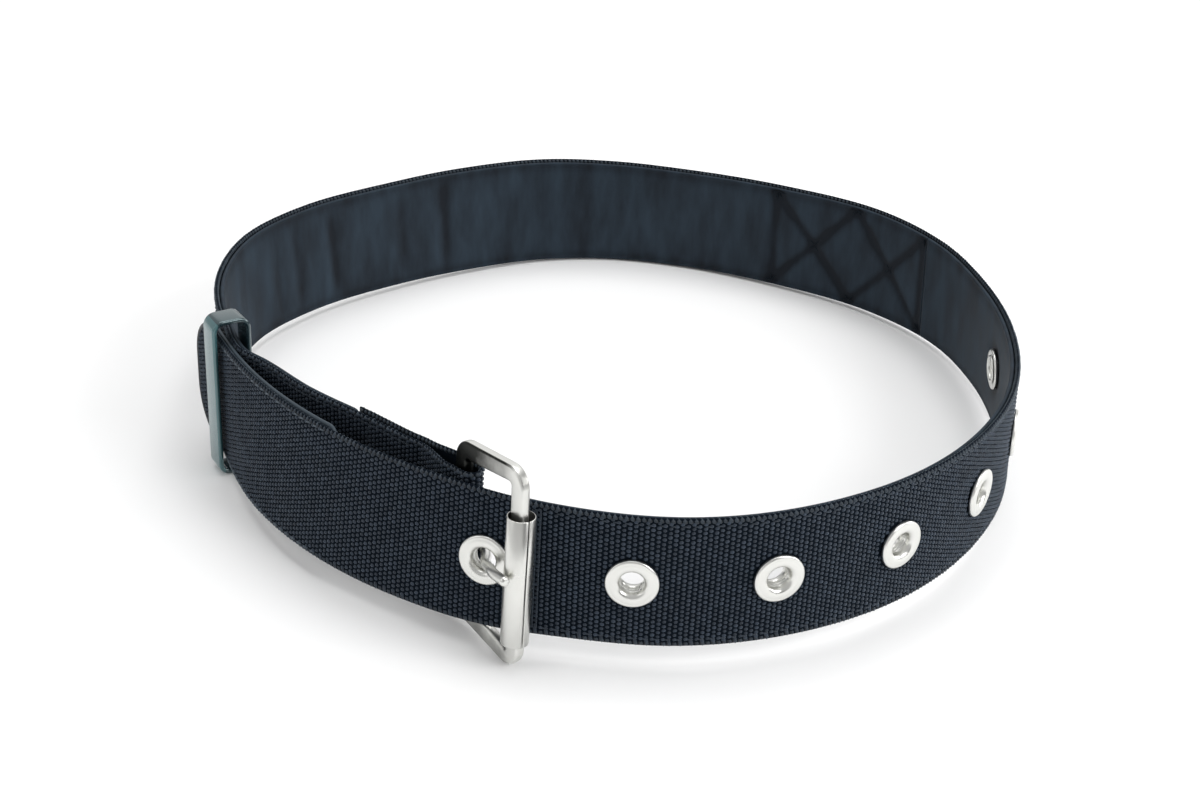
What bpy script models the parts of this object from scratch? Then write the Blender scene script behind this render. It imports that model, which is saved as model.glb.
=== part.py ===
# A 50 mm nylon utility belt with a roller buckle, eyelets and a keeper, fastened and standing on its edge.
# The belt is drawn in its own frame: the loop's middle is the origin, Z = 0 is the webbing's lower edge,
# -Y is the front with the buckle, and angles run anticlockwise seen from above, from 0 at +X.
# Sizes are millimetres until a mesh is made. Buckle and keeper reach below the webbing, so the finished
# belt is tipped until it stands on them and on the back of its lower edge.

import math
from collections import namedtuple

import bmesh
import bpy
import numpy as np
from mathutils import Matrix, Vector

MM = 0.001
COLLECTION = "utility_belt"

# Webbing and what is sewn to it
BELT_WIDTH = 50.0
WEBBING_THICK = 2.0
LINING_THICK = 1.7
FACING_THICK = 1.6
GAP = 0.3
SECTION_STEP = 2.6
END_GAP = 0.6

# Where each layer begins and ends along the belt, in degrees
TIP_ANGLE = 187.5
FACING_START = 188.3
FACING_END = 230.0
LINING_FRONT_END = 261.0
LINING_JOINT = 391.8
WEBBING_JOINT = 407.0
FOLD_RAW_END = 588.0
FOLD_START = 602.0
TIP_RADIUS = 19.0

# Buckle
BUCKLE_PLACE = Vector((-25.6, -159.0, 27.9))
BUCKLE_YAW = 50.8
BUCKLE_LEAN = 3.0
BUCKLE_TURN = 3.5
FRAME_REACH = 32.2
FRAME_BAR = 5.6
FRAME_THICK = 3.1
FRAME_NEAR_HALF = 37.7
FRAME_FAR_TOP = 34.8
FRAME_FAR_BOTTOM = -32.6
FRAME_CORNER = 7.5
ROLLER_TOP = Vector((-25.2, -157.7, 48.5))
ROLLER_BOTTOM = Vector((-26.2, -160.6, 1.2))
ROLLER_OUTER = 4.8
ROLLER_WALL = 0.5
PRONG_WIRE = 1.75
PRONG_RING = Vector((5.1, 3.9))
PRONG_INSIDE = 5.2
PRONG_OUTSIDE = 2.2
PRONG_SIDEWAYS = 1.3
PRONG_OVER_ROLLER = [Vector((-35.4, -154.6, 26.2)), Vector((-34.0, -159.6, 27.2)), Vector((-29.1, -166.6, 28.6))]
SLOT_HEIGHT = 6.0
SLOT_REACH = 9.5
FOLD_RADIUS = 3.4
FOLD_PAST_HINGE = 4.2

# Keeper
KEEPER_ANGLE = 197.7
KEEPER_RADIUS = 148.8
KEEPER_TURN = 5.5
KEEPER_ACROSS = 15.2
KEEPER_TALL = 65.0
KEEPER_WALL = 1.9
KEEPER_LENGTH = 10.0
KEEPER_CORNER = 4.6
KEEPER_DROP = 5.8

# Eyelets and the washers they are set with
EYELET_FLANGE = 9.0
EYELET_HOLE = 4.0
EYELET_WALL = 0.6
EYELET_SIDES = 20
WASHER_STAND = 0.6
WASHER_RADIUS = 8.2
WASHER_THICK = 0.45

# The outer face of the webbing at mid height. lean is how far its top edge stands out beyond its
# bottom edge. From the tip to 264 degrees this is the tail; from 550 it is the strap under the tail.
Section = namedtuple("Section", "angle radius lean")
SECTIONS = [
    Section(angle=187.5, radius=161.0, lean=0.0),
    Section(angle=192.0, radius=156.2, lean=0.0),
    Section(angle=197.7, radius=152.6, lean=0.0),
    Section(angle=203.0, radius=151.2, lean=-1.5),
    Section(angle=211.0, radius=150.0, lean=-4.0),
    Section(angle=232.0, radius=149.0, lean=-6.6),
    Section(angle=246.0, radius=150.4, lean=-6.6),
    Section(angle=252.0, radius=151.9, lean=-6.0),
    Section(angle=258.0, radius=153.6, lean=-4.3),
    Section(angle=265.0, radius=155.2, lean=-1.6),
    Section(angle=280.0, radius=160.0, lean=0.2),
    Section(angle=305.0, radius=162.3, lean=-0.2),
    Section(angle=335.0, radius=161.6, lean=-0.6),
    Section(angle=360.0, radius=160.8, lean=-3.4),
    Section(angle=375.0, radius=162.6, lean=-5.0),
    Section(angle=390.0, radius=165.7, lean=-3.8),
    Section(angle=403.0, radius=164.2, lean=-0.8),
    Section(angle=420.0, radius=157.3, lean=-1.4),
    Section(angle=438.0, radius=155.2, lean=-3.1),
    Section(angle=450.0, radius=156.5, lean=-1.6),
    Section(angle=461.0, radius=156.7, lean=1.5),
    Section(angle=478.0, radius=153.1, lean=2.6),
    Section(angle=492.0, radius=152.9, lean=1.2),
    Section(angle=508.0, radius=158.0, lean=1.4),
    Section(angle=521.0, radius=161.1, lean=0.8),
    Section(angle=534.0, radius=158.2, lean=0.4),
    Section(angle=546.0, radius=153.2, lean=0.0),
    Section(angle=553.0, radius=149.6, lean=0.0),
    Section(angle=558.0, radius=148.4, lean=0.0),
    Section(angle=561.5, radius=146.8, lean=0.0),
    Section(angle=566.0, radius=141.6, lean=0.0),
    Section(angle=577.0, radius=135.2, lean=0.0),
    Section(angle=590.0, radius=131.2, lean=-1.5),
    Section(angle=602.0, radius=134.2, lean=-3.6),
]

Eyelet = namedtuple("Eyelet", "name angle lined")
EYELETS = [
    Eyelet("eyelet_in_use", 255.8, False),
    Eyelet("eyelet_1", 274.2, True),
    Eyelet("eyelet_2", 291.8, True),
    Eyelet("eyelet_3", 309.4, True),
    Eyelet("eyelet_4", 327.0, True),
    Eyelet("eyelet_5", 344.8, True),
    Eyelet("eyelet_6", 363.9, True),
]

Finish = namedtuple("Finish", "colour roughness metallic")
FINISHES = {
    "nylon_webbing": Finish((0.012, 0.014, 0.020), 0.75, 0.0),
    "smooth_lining": Finish((0.018, 0.023, 0.030), 0.60, 0.0),
    "nickel_plate": Finish((0.78, 0.76, 0.71), 0.28, 1.0),
    "black_plastic": Finish((0.030, 0.036, 0.038), 0.35, 0.0),
}


def clear_scene():
    for item in list(bpy.data.objects):
        bpy.data.objects.remove(item)


def new_collection(name):
    made = bpy.data.collections.new(name)
    bpy.context.scene.collection.children.link(made)
    return made


def finish(name):
    """The material of that finish, made on its first use."""
    found = bpy.data.materials.get(name)
    if found:
        return found
    values = FINISHES[name]
    made = bpy.data.materials.new(name)
    made.use_nodes = True
    shader = made.node_tree.nodes["Principled BSDF"]
    shader.inputs["Base Color"].default_value = (*values.colour, 1.0)
    shader.inputs["Roughness"].default_value = values.roughness
    shader.inputs["Metallic"].default_value = values.metallic
    return made


def add_object(name, data, parent, material):
    made = bpy.data.objects.new(name, data)
    parts.objects.link(made)
    made.parent = parent
    made.data.materials.append(finish(material))
    return made


def add_empty(name, matrix, parent=None):
    """A frame for other pieces. matrix is in millimetres and becomes the empty's own place in metres."""
    made = bpy.data.objects.new(name, None)
    made.empty_display_size = 0.01
    parts.objects.link(made)
    made.parent = parent
    made.matrix_local = Matrix.Translation(matrix.translation * MM) @ matrix.to_3x3().to_4x4()
    return made


def add_cutter(name, corners_low, corners_high, matrix, sides=0):
    """A box, or a prism with that many sides round its own Z, that Boolean modifiers cut with."""
    mesh = bpy.data.meshes.new(name)
    shape = bmesh.new()
    size = [high - low for low, high in zip(corners_low, corners_high)]
    middle = [(high + low) / 2 for low, high in zip(corners_low, corners_high)]
    if sides:
        bmesh.ops.create_cone(
            shape, cap_ends=True, segments=sides, radius1=size[0] / 2, radius2=size[0] / 2, depth=size[2]
        )
    else:
        bmesh.ops.create_cube(shape, size=1.0, matrix=Matrix.Diagonal((*size, 1.0)))
    bmesh.ops.transform(shape, matrix=Matrix.Translation(middle), verts=shape.verts)
    bmesh.ops.transform(shape, matrix=Matrix.Scale(MM, 4), verts=shape.verts)
    shape.to_mesh(mesh)
    shape.free()
    made = bpy.data.objects.new(name, mesh)
    cutters.objects.link(made)
    made.parent = belt
    made.matrix_local = Matrix.Translation(matrix.translation * MM) @ matrix.to_3x3().to_4x4()
    made.hide_render = True
    made.display_type = "WIRE"
    return made


def cut(piece, cutter):
    boolean = piece.modifiers.new("cut by " + cutter.name, "BOOLEAN")
    boolean.operation = "DIFFERENCE"
    boolean.object = cutter


def axes_matrix(along_x, along_y, along_z, place):
    """A placing matrix whose columns are those three unit axes."""
    turned = Matrix((along_x, along_y, along_z)).transposed()
    return Matrix.Translation(place) @ turned.to_4x4()


def smooth_column(column, angle):
    """A column of the section table at any angle, on a cubic whose slopes come from the rows beside it."""
    angles = [row.angle for row in SECTIONS]
    values = [getattr(row, column) for row in SECTIONS]
    slopes = np.gradient(values, angles)
    upper = min(max(int(np.searchsorted(angles, angle)), 1), len(angles) - 1)
    lower = upper - 1
    span = angles[upper] - angles[lower]
    t = (angle - angles[lower]) / span
    return (
        (2 * t**3 - 3 * t**2 + 1) * values[lower]
        + (t**3 - 2 * t**2 + t) * span * slopes[lower]
        + (3 * t**2 - 2 * t**3) * values[upper]
        + (t**3 - t**2) * span * slopes[upper]
    )


def radial(angle):
    return Vector((math.cos(math.radians(angle)), math.sin(math.radians(angle)), 0.0))


def face_point(angle):
    """A point of the webbing's outer face at mid height."""
    return radial(angle) * smooth_column("radius", angle) + Vector((0, 0, BELT_WIDTH / 2))


def face_normal(angle):
    """The level direction out of the webbing at that angle."""
    along = face_point(angle + 0.2) - face_point(angle - 0.2)
    return Vector((along.y, -along.x, 0.0)).normalized()


def lean_at(angle):
    """How far the top edge stands from over the bottom edge, as a level vector."""
    return radial(angle) * smooth_column("lean", angle)


# One place on a strap: the middle of its thickness at mid height, the lean there, and half its height
Place = namedtuple("Place", "point lean half_height")


def run(start, end, inset, shape_tip=None):
    """Places along the belt between two angles, inset into the webbing's outer face."""
    count = max(2, round(abs(end - start) / SECTION_STEP))
    places = []
    for angle in np.linspace(start, end, count + 1):
        point = face_point(angle) - face_normal(angle) * inset
        places.append(Place(point, lean_at(angle), BELT_WIDTH / 2))
    if shape_tip:
        places = rounded_tip(places, shape_tip)
    return places


def rounded_tip(places, margin):
    """The same places with corners of TIP_RADIUS at the first end, closer together there."""
    radius = TIP_RADIUS - margin
    tip = places[0].point
    along = (places[1].point - tip).normalized()
    corner = []
    for turn in np.linspace(0.0, math.pi / 2, 7)[:-1]:
        distance = radius * (1 - math.cos(turn))
        height = BELT_WIDTH / 2 - margin - radius * (1 - math.sin(turn))
        corner.append(Place(tip + along * distance, places[0].lean, height))
    rest = [place for place in places if (place.point - tip).length > radius]
    blend = rest[0].point - (tip + along * (rest[0].point - tip).length)
    eased = []
    for place in corner:
        share = ((place.point - tip).length / radius) ** 2
        eased.append(place._replace(point=place.point + blend * share * 0.8))
    low = BELT_WIDTH / 2 - margin
    return eased + [place._replace(half_height=low) for place in rest]


def strap(name, places, thick, material):
    """An open ribbon of two points a place, lower and upper edge, given its thickness by Solidify."""
    corners = []
    for place in places:
        for side in (-1, 1):
            height = side * place.half_height
            corner = place.point + place.lean * (height / BELT_WIDTH) + Vector((0, 0, height))
            corners.append(corner * MM)
    count = len(places) - 1
    faces = [(2 * i, 2 * i + 2, 2 * i + 3, 2 * i + 1) for i in range(count)]
    mesh = bpy.data.meshes.new(name)
    mesh.from_pydata(corners, [], faces)
    made = add_object(name, mesh, belt, material)
    wall = made.modifiers.new("thickness", "SOLIDIFY")
    wall.thickness = thick * MM
    wall.offset = 0.0
    wall.use_even_offset = True
    return made


def stack_inset(thick):
    """How deep the middle of a second layer of that thickness lies under the webbing."""
    return WEBBING_THICK + GAP + thick / 2


def hinge_point():
    """The middle of the buckle's hinge bar at mid height of the webbing."""
    place = buckle_matrix() @ Vector((-FRAME_REACH, 0, 0))
    upright = buckle_matrix().to_3x3() @ Vector((0, 1, 0))
    return place + upright * ((BELT_WIDTH / 2 - place.z) / upright.z)


def hinge_lean():
    upright = buckle_matrix().to_3x3() @ Vector((0, 1, 0))
    return Vector((upright.x, upright.y, 0.0)) * (BELT_WIDTH / upright.z)


def fold_round_hinge():
    """The webbing's way round the hinge bar, from its outer run to the folded-back run behind it."""
    half_stack = (WEBBING_THICK + GAP) / 2
    start = face_point(FOLD_START) - face_normal(FOLD_START) * (WEBBING_THICK / 2 + half_stack)
    along = (hinge_point() - start).normalized()
    end = hinge_point() + along * FOLD_PAST_HINGE
    outward = Vector((along.y, -along.x, 0.0))
    length = (end - start).length
    side = []
    for share in np.linspace(0.12, 0.95, 8):
        ease = min(share / 0.75, 1.0) ** 2
        ease = ease * (3 - 2 * ease)
        side.append((start + along * length * share, half_stack + (FOLD_RADIUS - half_stack) * ease))
    points = [middle + outward * apart for middle, apart in side]
    for turn in np.linspace(math.pi / 2, -math.pi / 2, 9):
        points.append(end + (outward * math.sin(turn) + along * math.cos(turn)) * FOLD_RADIUS)
    points += [middle - outward * apart for middle, apart in reversed(side)]
    leans = []
    for point in points:
        share = min(max((point - start).dot(along) / length, 0.0), 1.0)
        leans.append(lean_at(FOLD_START).lerp(hinge_lean(), share))
    return [Place(point, lean, BELT_WIDTH / 2) for point, lean in zip(points, leans)]


def buckle_matrix():
    """The buckle's own frame at its roller bar: X away from the hinge bar, Y up the bar, Z outward."""
    yaw = math.radians(BUCKLE_YAW)
    level = Vector((math.cos(yaw), -math.sin(yaw), 0.0))
    inward = Vector((math.sin(yaw), math.cos(yaw), 0.0))
    lean = math.radians(BUCKLE_LEAN)
    upright = Vector((0, 0, 1)) * math.cos(lean) + inward * math.sin(lean)
    turn = math.radians(BUCKLE_TURN)
    along_x = level * math.cos(turn) + upright * math.sin(turn)
    along_y = upright * math.cos(turn) - level * math.sin(turn)
    return axes_matrix(along_x, along_y, along_x.cross(along_y), BUCKLE_PLACE)


def rounded_outline(corners, radii, steps):
    """Points round a convex outline whose corners are arcs."""
    points = []
    count = len(corners)
    for index, (corner, radius) in enumerate(zip(corners, radii)):
        back = (corners[index - 1] - corner).normalized()
        ahead = (corners[(index + 1) % count] - corner).normalized()
        half = back.angle(ahead) / 2
        centre = corner + (back + ahead).normalized() * (radius / math.sin(half))
        first = corner + back * (radius / math.tan(half)) - centre
        sweep = math.pi - 2 * half
        sign = 1 if back.cross(ahead) < 0 else -1
        for step in range(steps + 1):
            turned = first.copy()
            turned.rotate(Matrix.Rotation(sign * sweep * step / steps, 2))
            points.append(centre + turned)
    return points


def flat_ring(name, outer, inner, radii, thick, edge, parent, material):
    """A flat closed ring between two outlines, with rounded edges: a filled 2D curve, extruded."""
    curve = bpy.data.curves.new(name, "CURVE")
    curve.dimensions = "2D"
    curve.fill_mode = "BOTH"
    curve.extrude = (thick / 2 - edge) * MM
    curve.bevel_depth = edge * MM
    curve.bevel_resolution = 1
    curve.offset = -edge * MM
    for corners, radius in zip((outer, inner), radii):
        points = rounded_outline(corners, [radius] * len(corners), 6)
        spline = curve.splines.new("POLY")
        spline.points.add(len(points) - 1)
        for target, point in zip(spline.points, points):
            target.co = (point.x * MM, point.y * MM, 0.0, 1.0)
        spline.use_cyclic_u = True
    return add_object(name, curve, parent, material)


def box_corners(half_wide, half_tall):
    """Four corners, anticlockwise from the lower left."""
    wide = (-half_wide, half_wide, half_wide, -half_wide)
    tall = (-half_tall, -half_tall, half_tall, half_tall)
    return [Vector(corner) for corner in zip(wide, tall)]


def frame_corners(past_bars, inset):
    """The buckle's outline, that far past the middle lines of its two upright bars."""
    near = past_bars
    far = -FRAME_REACH - past_bars
    return [
        Vector((far, FRAME_FAR_BOTTOM + inset)),
        Vector((near, -FRAME_NEAR_HALF + inset)),
        Vector((near, FRAME_NEAR_HALF - inset)),
        Vector((far, FRAME_FAR_TOP - inset)),
    ]


def turned(name, profile, sides, parent, material):
    """A ring or tube turned from a closed profile of (radius, height) points, by a Screw round Z."""
    mesh = bpy.data.meshes.new(name)
    corners = [(radius * MM, 0.0, height * MM) for radius, height in profile]
    edges = [(i, (i + 1) % len(corners)) for i in range(len(corners))]
    mesh.from_pydata(corners, edges, [])
    made = add_object(name, mesh, parent, material)
    screw = made.modifiers.new("turn", "SCREW")
    screw.axis = "Z"
    screw.steps = sides
    screw.render_steps = sides
    screw.use_merge_vertices = True
    screw.merge_threshold = 0.00001
    screw.use_smooth_shade = True
    return made


def make_straps():
    """The two webbings, the two linings and the tail's facing."""
    outer_inset = WEBBING_THICK / 2
    lining_inset = stack_inset(LINING_THICK)
    joint_gap = math.degrees(END_GAP / face_point(WEBBING_JOINT).xy.length)
    tail = run(TIP_ANGLE, WEBBING_JOINT, outer_inset, shape_tip=0.001)
    eyelet_strap = strap("eyelet_webbing", tail, WEBBING_THICK, "nylon_webbing")
    base = run(WEBBING_JOINT + joint_gap, FOLD_START, outer_inset)
    base += fold_round_hinge()
    base += reversed(run(FOLD_RAW_END, FOLD_START, stack_inset(WEBBING_THICK)))
    buckle_strap = strap("buckle_webbing", base, WEBBING_THICK, "nylon_webbing")
    front = run(LINING_FRONT_END, LINING_JOINT, lining_inset)
    front_lining = strap("front_lining", front, LINING_THICK, "smooth_lining")
    back = run(LINING_JOINT + joint_gap, FOLD_RAW_END - joint_gap, lining_inset)
    strap("back_lining", back, LINING_THICK, "smooth_lining")
    facing = run(FACING_START, FACING_END, stack_inset(FACING_THICK), shape_tip=1.0)
    strap("tail_facing", facing, FACING_THICK, "smooth_lining")
    return eyelet_strap, buckle_strap, front_lining


def make_keeper():
    """A moulded plastic loop round both straps. It stands lower than the webbing's edge."""
    outward = face_normal(KEEPER_ANGLE)
    outward.rotate(Matrix.Rotation(math.radians(KEEPER_TURN), 3, "Z"))
    along = outward.cross(Vector((0, 0, 1)))
    place = radial(KEEPER_ANGLE) * KEEPER_RADIUS
    place.z = KEEPER_TALL / 2 - KEEPER_DROP
    seat = add_empty("keeper_seat", axes_matrix(outward, Vector((0, 0, 1)), along, place), belt)
    half_across = KEEPER_ACROSS / 2
    half_tall = KEEPER_TALL / 2
    wall = KEEPER_WALL
    outer = box_corners(half_across, half_tall)
    inner = box_corners(half_across - wall, half_tall - wall)
    radii = (KEEPER_CORNER, KEEPER_CORNER - wall)
    return flat_ring("keeper", outer, inner, radii, KEEPER_LENGTH, 0.6, seat, "black_plastic")


def make_buckle():
    """The nickel frame, the loose tube on its front bar, and the prong hooked round its hinge bar."""
    seat = add_empty("buckle_seat", buckle_matrix(), belt)
    outer = frame_corners(FRAME_BAR / 2, 0.0)
    inner = frame_corners(-FRAME_BAR / 2, FRAME_BAR)
    radii = (FRAME_CORNER, FRAME_CORNER - FRAME_BAR)
    flat_ring("buckle_frame", outer, inner, radii, FRAME_THICK, 0.9, seat, "nickel_plate")
    make_roller()
    make_prong()


def make_roller():
    axis = (ROLLER_TOP - ROLLER_BOTTOM).normalized()
    side = axis.orthogonal().normalized()
    place = (ROLLER_TOP + ROLLER_BOTTOM) / 2
    seat = add_empty("roller_axis", axes_matrix(side, axis.cross(side), axis, place), belt)
    half = (ROLLER_TOP - ROLLER_BOTTOM).length / 2
    inside = ROLLER_OUTER - ROLLER_WALL
    profile = [(ROLLER_OUTER, half), (ROLLER_OUTER, -half), (inside, -half), (inside, half)]
    turned("buckle_roller", profile, 32, seat, "nickel_plate")


def eased_path(points, rounds):
    """The same path with its corners cut, so that a bent wire has no kink."""
    for _ in range(rounds):
        eased = [points[0]]
        for first, second in zip(points, points[1:]):
            eased += [first.lerp(second, 0.25), first.lerp(second, 0.75)]
        points = eased + [points[-1]]
    return points


def make_prong():
    """A wire bent round the hinge bar, out through the eyelet in use and over on to the roller."""
    hinge = hinge_point()
    eyelet = eyelet_matrix(EYELETS[0].angle)
    inside = eyelet @ Vector((-PRONG_SIDEWAYS, 0, -PRONG_INSIDE))
    outside = eyelet @ Vector((PRONG_SIDEWAYS, 0, PRONG_OUTSIDE))
    forward = buckle_matrix().col[0].to_3d() * PRONG_RING.x
    outward = buckle_matrix().col[2].to_3d() * PRONG_RING.y
    way = Vector(((inside - hinge).dot(forward) / PRONG_RING.x**2, (inside - hinge).dot(outward) / PRONG_RING.y**2))
    leave = math.atan2(way.y, way.x) - math.acos(1 / way.length)
    ring = []
    for step in range(13):
        turn = leave - math.radians(22.5) * (12 - step)
        place = hinge + forward * math.cos(turn) + outward * math.sin(turn)
        ring.append(Vector((place.x, place.y, hinge.z)))
    bend = [ring[-1], inside, outside, *PRONG_OVER_ROLLER]
    points = ring[:-1] + eased_path(bend, 2)
    curve = bpy.data.curves.new("buckle_prong", "CURVE")
    curve.dimensions = "3D"
    curve.bevel_depth = PRONG_WIRE * MM
    curve.bevel_resolution = 3
    curve.use_fill_caps = True
    spline = curve.splines.new("POLY")
    spline.points.add(len(points) - 1)
    for target, point in zip(spline.points, points):
        target.co = (*(point * MM), 1.0)
    add_object("buckle_prong", curve, belt, "nickel_plate")


def eyelet_matrix(angle):
    """An eyelet's frame on the webbing's outer face: Z outward along the leaning face's normal."""
    outward = face_normal(angle)
    upright = (lean_at(angle) + Vector((0, 0, BELT_WIDTH))).normalized()
    outward = (outward - upright * outward.dot(upright)).normalized()
    return axes_matrix(upright.cross(outward), upright, outward, face_point(angle))


def eyelet_profile(depth):
    """The eyelet's section: a domed flange, a barrel through the strap and an edge rolled over the washer."""
    inside = EYELET_HOLE
    barrel = inside + EYELET_WALL
    rolled = depth + WASHER_STAND + WASHER_THICK + GAP
    return [
        (EYELET_FLANGE, 0.50),
        (EYELET_FLANGE, 0.90),
        (EYELET_FLANGE - 0.5, 1.30),
        (inside + 2.2, 1.45),
        (inside + 1.0, 1.15),
        (inside + 0.2, 0.45),
        (inside, -rolled),
        (inside + 0.5, -rolled - 0.55),
        (inside + 1.6, -rolled - 0.55),
        (inside + 1.8, -rolled - 0.15),
        (barrel, -rolled),
        (barrel, -0.2),
        (barrel + 0.6, 0.50),
    ][::-1]


def washer_profile(depth):
    inside = EYELET_HOLE + EYELET_WALL + GAP
    top = -depth - WASHER_STAND
    return [
        (inside, top),
        (inside, top - WASHER_THICK),
        (WASHER_RADIUS - 2.2, top - WASHER_THICK),
        (WASHER_RADIUS - 0.6, top - WASHER_THICK - 0.25),
        (WASHER_RADIUS, top - WASHER_THICK),
        (WASHER_RADIUS, top),
    ][::-1]


def make_eyelets(eyelet_strap, front_lining):
    """Each eyelet with its washer, and the hole they need in the layers between them."""
    for eyelet in EYELETS:
        matrix = eyelet_matrix(eyelet.angle)
        depth = WEBBING_THICK + (GAP + LINING_THICK if eyelet.lined else 0.0)
        seat = add_empty(eyelet.name + "_seat", matrix, belt)
        turned(eyelet.name, eyelet_profile(depth), EYELET_SIDES, seat, "nickel_plate")
        washer = eyelet.name.replace("eyelet", "washer")
        turned(washer, washer_profile(depth), EYELET_SIDES, seat, "nickel_plate")
        reach = EYELET_HOLE + EYELET_WALL + GAP
        low = (-reach, -reach, -depth - 3.0)
        cutter = add_cutter(eyelet.name + "_hole", low, (reach, reach, 3.0), matrix, EYELET_SIDES)
        cut(eyelet_strap, cutter)
        if eyelet.lined:
            cut(front_lining, cutter)


def cut_prong_slot(buckle_strap):
    """The slot in the folded webbing where the prong hooks round the hinge bar."""
    place = hinge_point()
    reach = SLOT_REACH
    low = (-reach, -reach, -SLOT_HEIGHT / 2)
    cutter = add_cutter("prong_slot", low, (reach, reach, SLOT_HEIGHT / 2), Matrix.Translation(place))
    cut(buckle_strap, cutter)


def world_corners(item, graph):
    """Every vertex of the finished piece in world space."""
    evaluated = item.evaluated_get(graph)
    mesh = evaluated.to_mesh()
    corners = [evaluated.matrix_world @ vertex.co for vertex in mesh.vertices]
    evaluated.to_mesh_clear()
    return corners


def resting_normal(groups):
    """The normal of the plane that the belt stands on: it touches one point of each of the three groups."""
    normal = Vector((0, 0, 1))
    for _ in range(6):
        touching = [min(group, key=normal.dot) for group in groups]
        normal = (touching[1] - touching[0]).cross(touching[2] - touching[0]).normalized()
        if normal.z < 0:
            normal.negate()
    return normal


def stand_on_edge():
    """Tips the belt on to its three lowest places and centres its box over the origin."""
    bpy.context.view_layer.update()
    graph = bpy.context.evaluated_depsgraph_get()
    groups = [world_corners(bpy.data.objects[name], graph) for name in ("buckle_frame", "keeper")]
    straps = [bpy.data.objects[name] for name in ("eyelet_webbing", "buckle_webbing", "back_lining")]
    groups.append([corner for item in straps for corner in world_corners(item, graph) if corner.y > 0])
    belt.rotation_mode = "QUATERNION"
    belt.rotation_quaternion = resting_normal(groups).rotation_difference(Vector((0, 0, 1)))
    bpy.context.view_layer.update()
    graph = bpy.context.evaluated_depsgraph_get()
    pieces = [item for item in parts.objects if item.type != "EMPTY"]
    every = [corner for item in pieces for corner in world_corners(item, graph)]
    low = Vector(min(corner[axis] for corner in every) for axis in range(3))
    high = Vector(max(corner[axis] for corner in every) for axis in range(3))
    belt.location = (-(low.x + high.x) / 2, -(low.y + high.y) / 2, -low.z)


clear_scene()
parts = new_collection(COLLECTION)
cutters = new_collection("cutters")
cutters.hide_render = True
belt = add_empty("belt", Matrix.Identity(4))
eyelet_webbing, buckle_webbing, lining = make_straps()
make_keeper()
make_buckle()
make_eyelets(eyelet_webbing, lining)
cut_prong_slot(buckle_webbing)
stand_on_edge()
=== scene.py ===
import math

import bmesh
import bpy
import numpy as np
from mathutils import Matrix, Vector


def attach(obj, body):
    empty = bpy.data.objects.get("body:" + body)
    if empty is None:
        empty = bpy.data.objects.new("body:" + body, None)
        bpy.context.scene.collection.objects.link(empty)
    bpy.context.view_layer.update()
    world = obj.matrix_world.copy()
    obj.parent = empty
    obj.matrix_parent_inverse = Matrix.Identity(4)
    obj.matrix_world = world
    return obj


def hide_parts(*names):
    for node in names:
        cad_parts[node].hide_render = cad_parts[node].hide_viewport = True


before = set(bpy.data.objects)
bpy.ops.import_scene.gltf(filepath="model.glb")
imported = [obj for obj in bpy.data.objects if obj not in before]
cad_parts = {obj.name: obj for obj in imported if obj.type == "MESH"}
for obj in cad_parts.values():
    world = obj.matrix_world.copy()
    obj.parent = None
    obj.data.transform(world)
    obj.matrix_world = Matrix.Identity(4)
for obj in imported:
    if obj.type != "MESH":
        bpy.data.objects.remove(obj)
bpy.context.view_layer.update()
print("frame loaded")

# The belt is drawn in millimetres in its own frame: the loop's middle is the origin, z = 0 is the webbing's
# lower edge, -y is the front with the buckle, and angles run anticlockwise seen from above, from 0 at +x.
mm = 0.001
mergedWithin = 0.000002      # metres

# It stands tipped a little, on the buckle, the keeper and the back of the webbing
stance = {"tippedAbout": Vector((-0.028206, 0.001693, 0.0)), "moved": Vector((-1.604, 4.648, 4.432))}
tip = Matrix.Rotation(math.asin(stance["tippedAbout"].length), 4, stance["tippedAbout"])
beltPlace = Matrix.Translation(stance["moved"]) @ tip

belt = {
    "width": 50.0,
    "webbingThick": 2.0,
    "liningThick": 1.7,
    "facingThick": 1.6,
    "layerGap": 0.3,
    "tipAngle": 187.5,
    "tipRadius": 19.0,
    "facingStart": 188.3,
    "facingEnd": 230.0,
    "liningFrontEnd": 261.0,
    "liningJoint": 391.8,
    "webbingJoint": 407.0,
    "jointGap": 0.6,
    "buttGap": 0.1,
    "shadeDepth": 0.62,      # how much darker the lining's painted shade makes it for each millimetre that it is sunk
    "facingRise": 1.4,       # the facing rides up toward its end
    "foldRawEnd": 588.0,
    "foldStart": 602.0,
}

# The webbing's outer face at mid height: angle, radius, and how far the top edge leans out
sections = np.array([
    (187.5, 161.0, 0.0), (192.0, 156.2, 0.0), (197.7, 152.6, 0.0), (203.0, 151.2, -1.5),
    (211.0, 150.0, -4.0), (232.0, 149.0, -6.6), (246.0, 150.4, -6.6), (252.0, 151.9, -6.0),
    (258.0, 153.6, -4.3), (265.0, 155.2, -1.6), (280.0, 160.0, 0.2), (305.0, 162.3, -0.2),
    (335.0, 161.6, -0.6), (360.0, 160.8, -3.4), (375.0, 162.6, -5.0), (390.0, 165.7, -3.8),
    (403.0, 164.2, -0.8), (420.0, 157.3, -1.4), (438.0, 155.2, -3.1), (450.0, 156.5, -1.6),
    (461.0, 156.7, 1.5), (478.0, 153.1, 2.6), (492.0, 152.9, 1.2), (508.0, 158.0, 1.4),
    (521.0, 161.1, 0.8), (534.0, 158.2, 0.4), (546.0, 153.2, 0.0), (553.0, 149.6, 0.0),
    (558.0, 148.4, 0.0), (561.5, 146.8, 0.0), (566.0, 141.6, 0.0), (577.0, 135.2, 0.0),
    (590.0, 131.2, -1.5), (602.0, 134.2, -3.6),
])
sectionAngle, sectionRadius, sectionLean = sections.T
halfWidth = belt["width"] / 2
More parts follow.
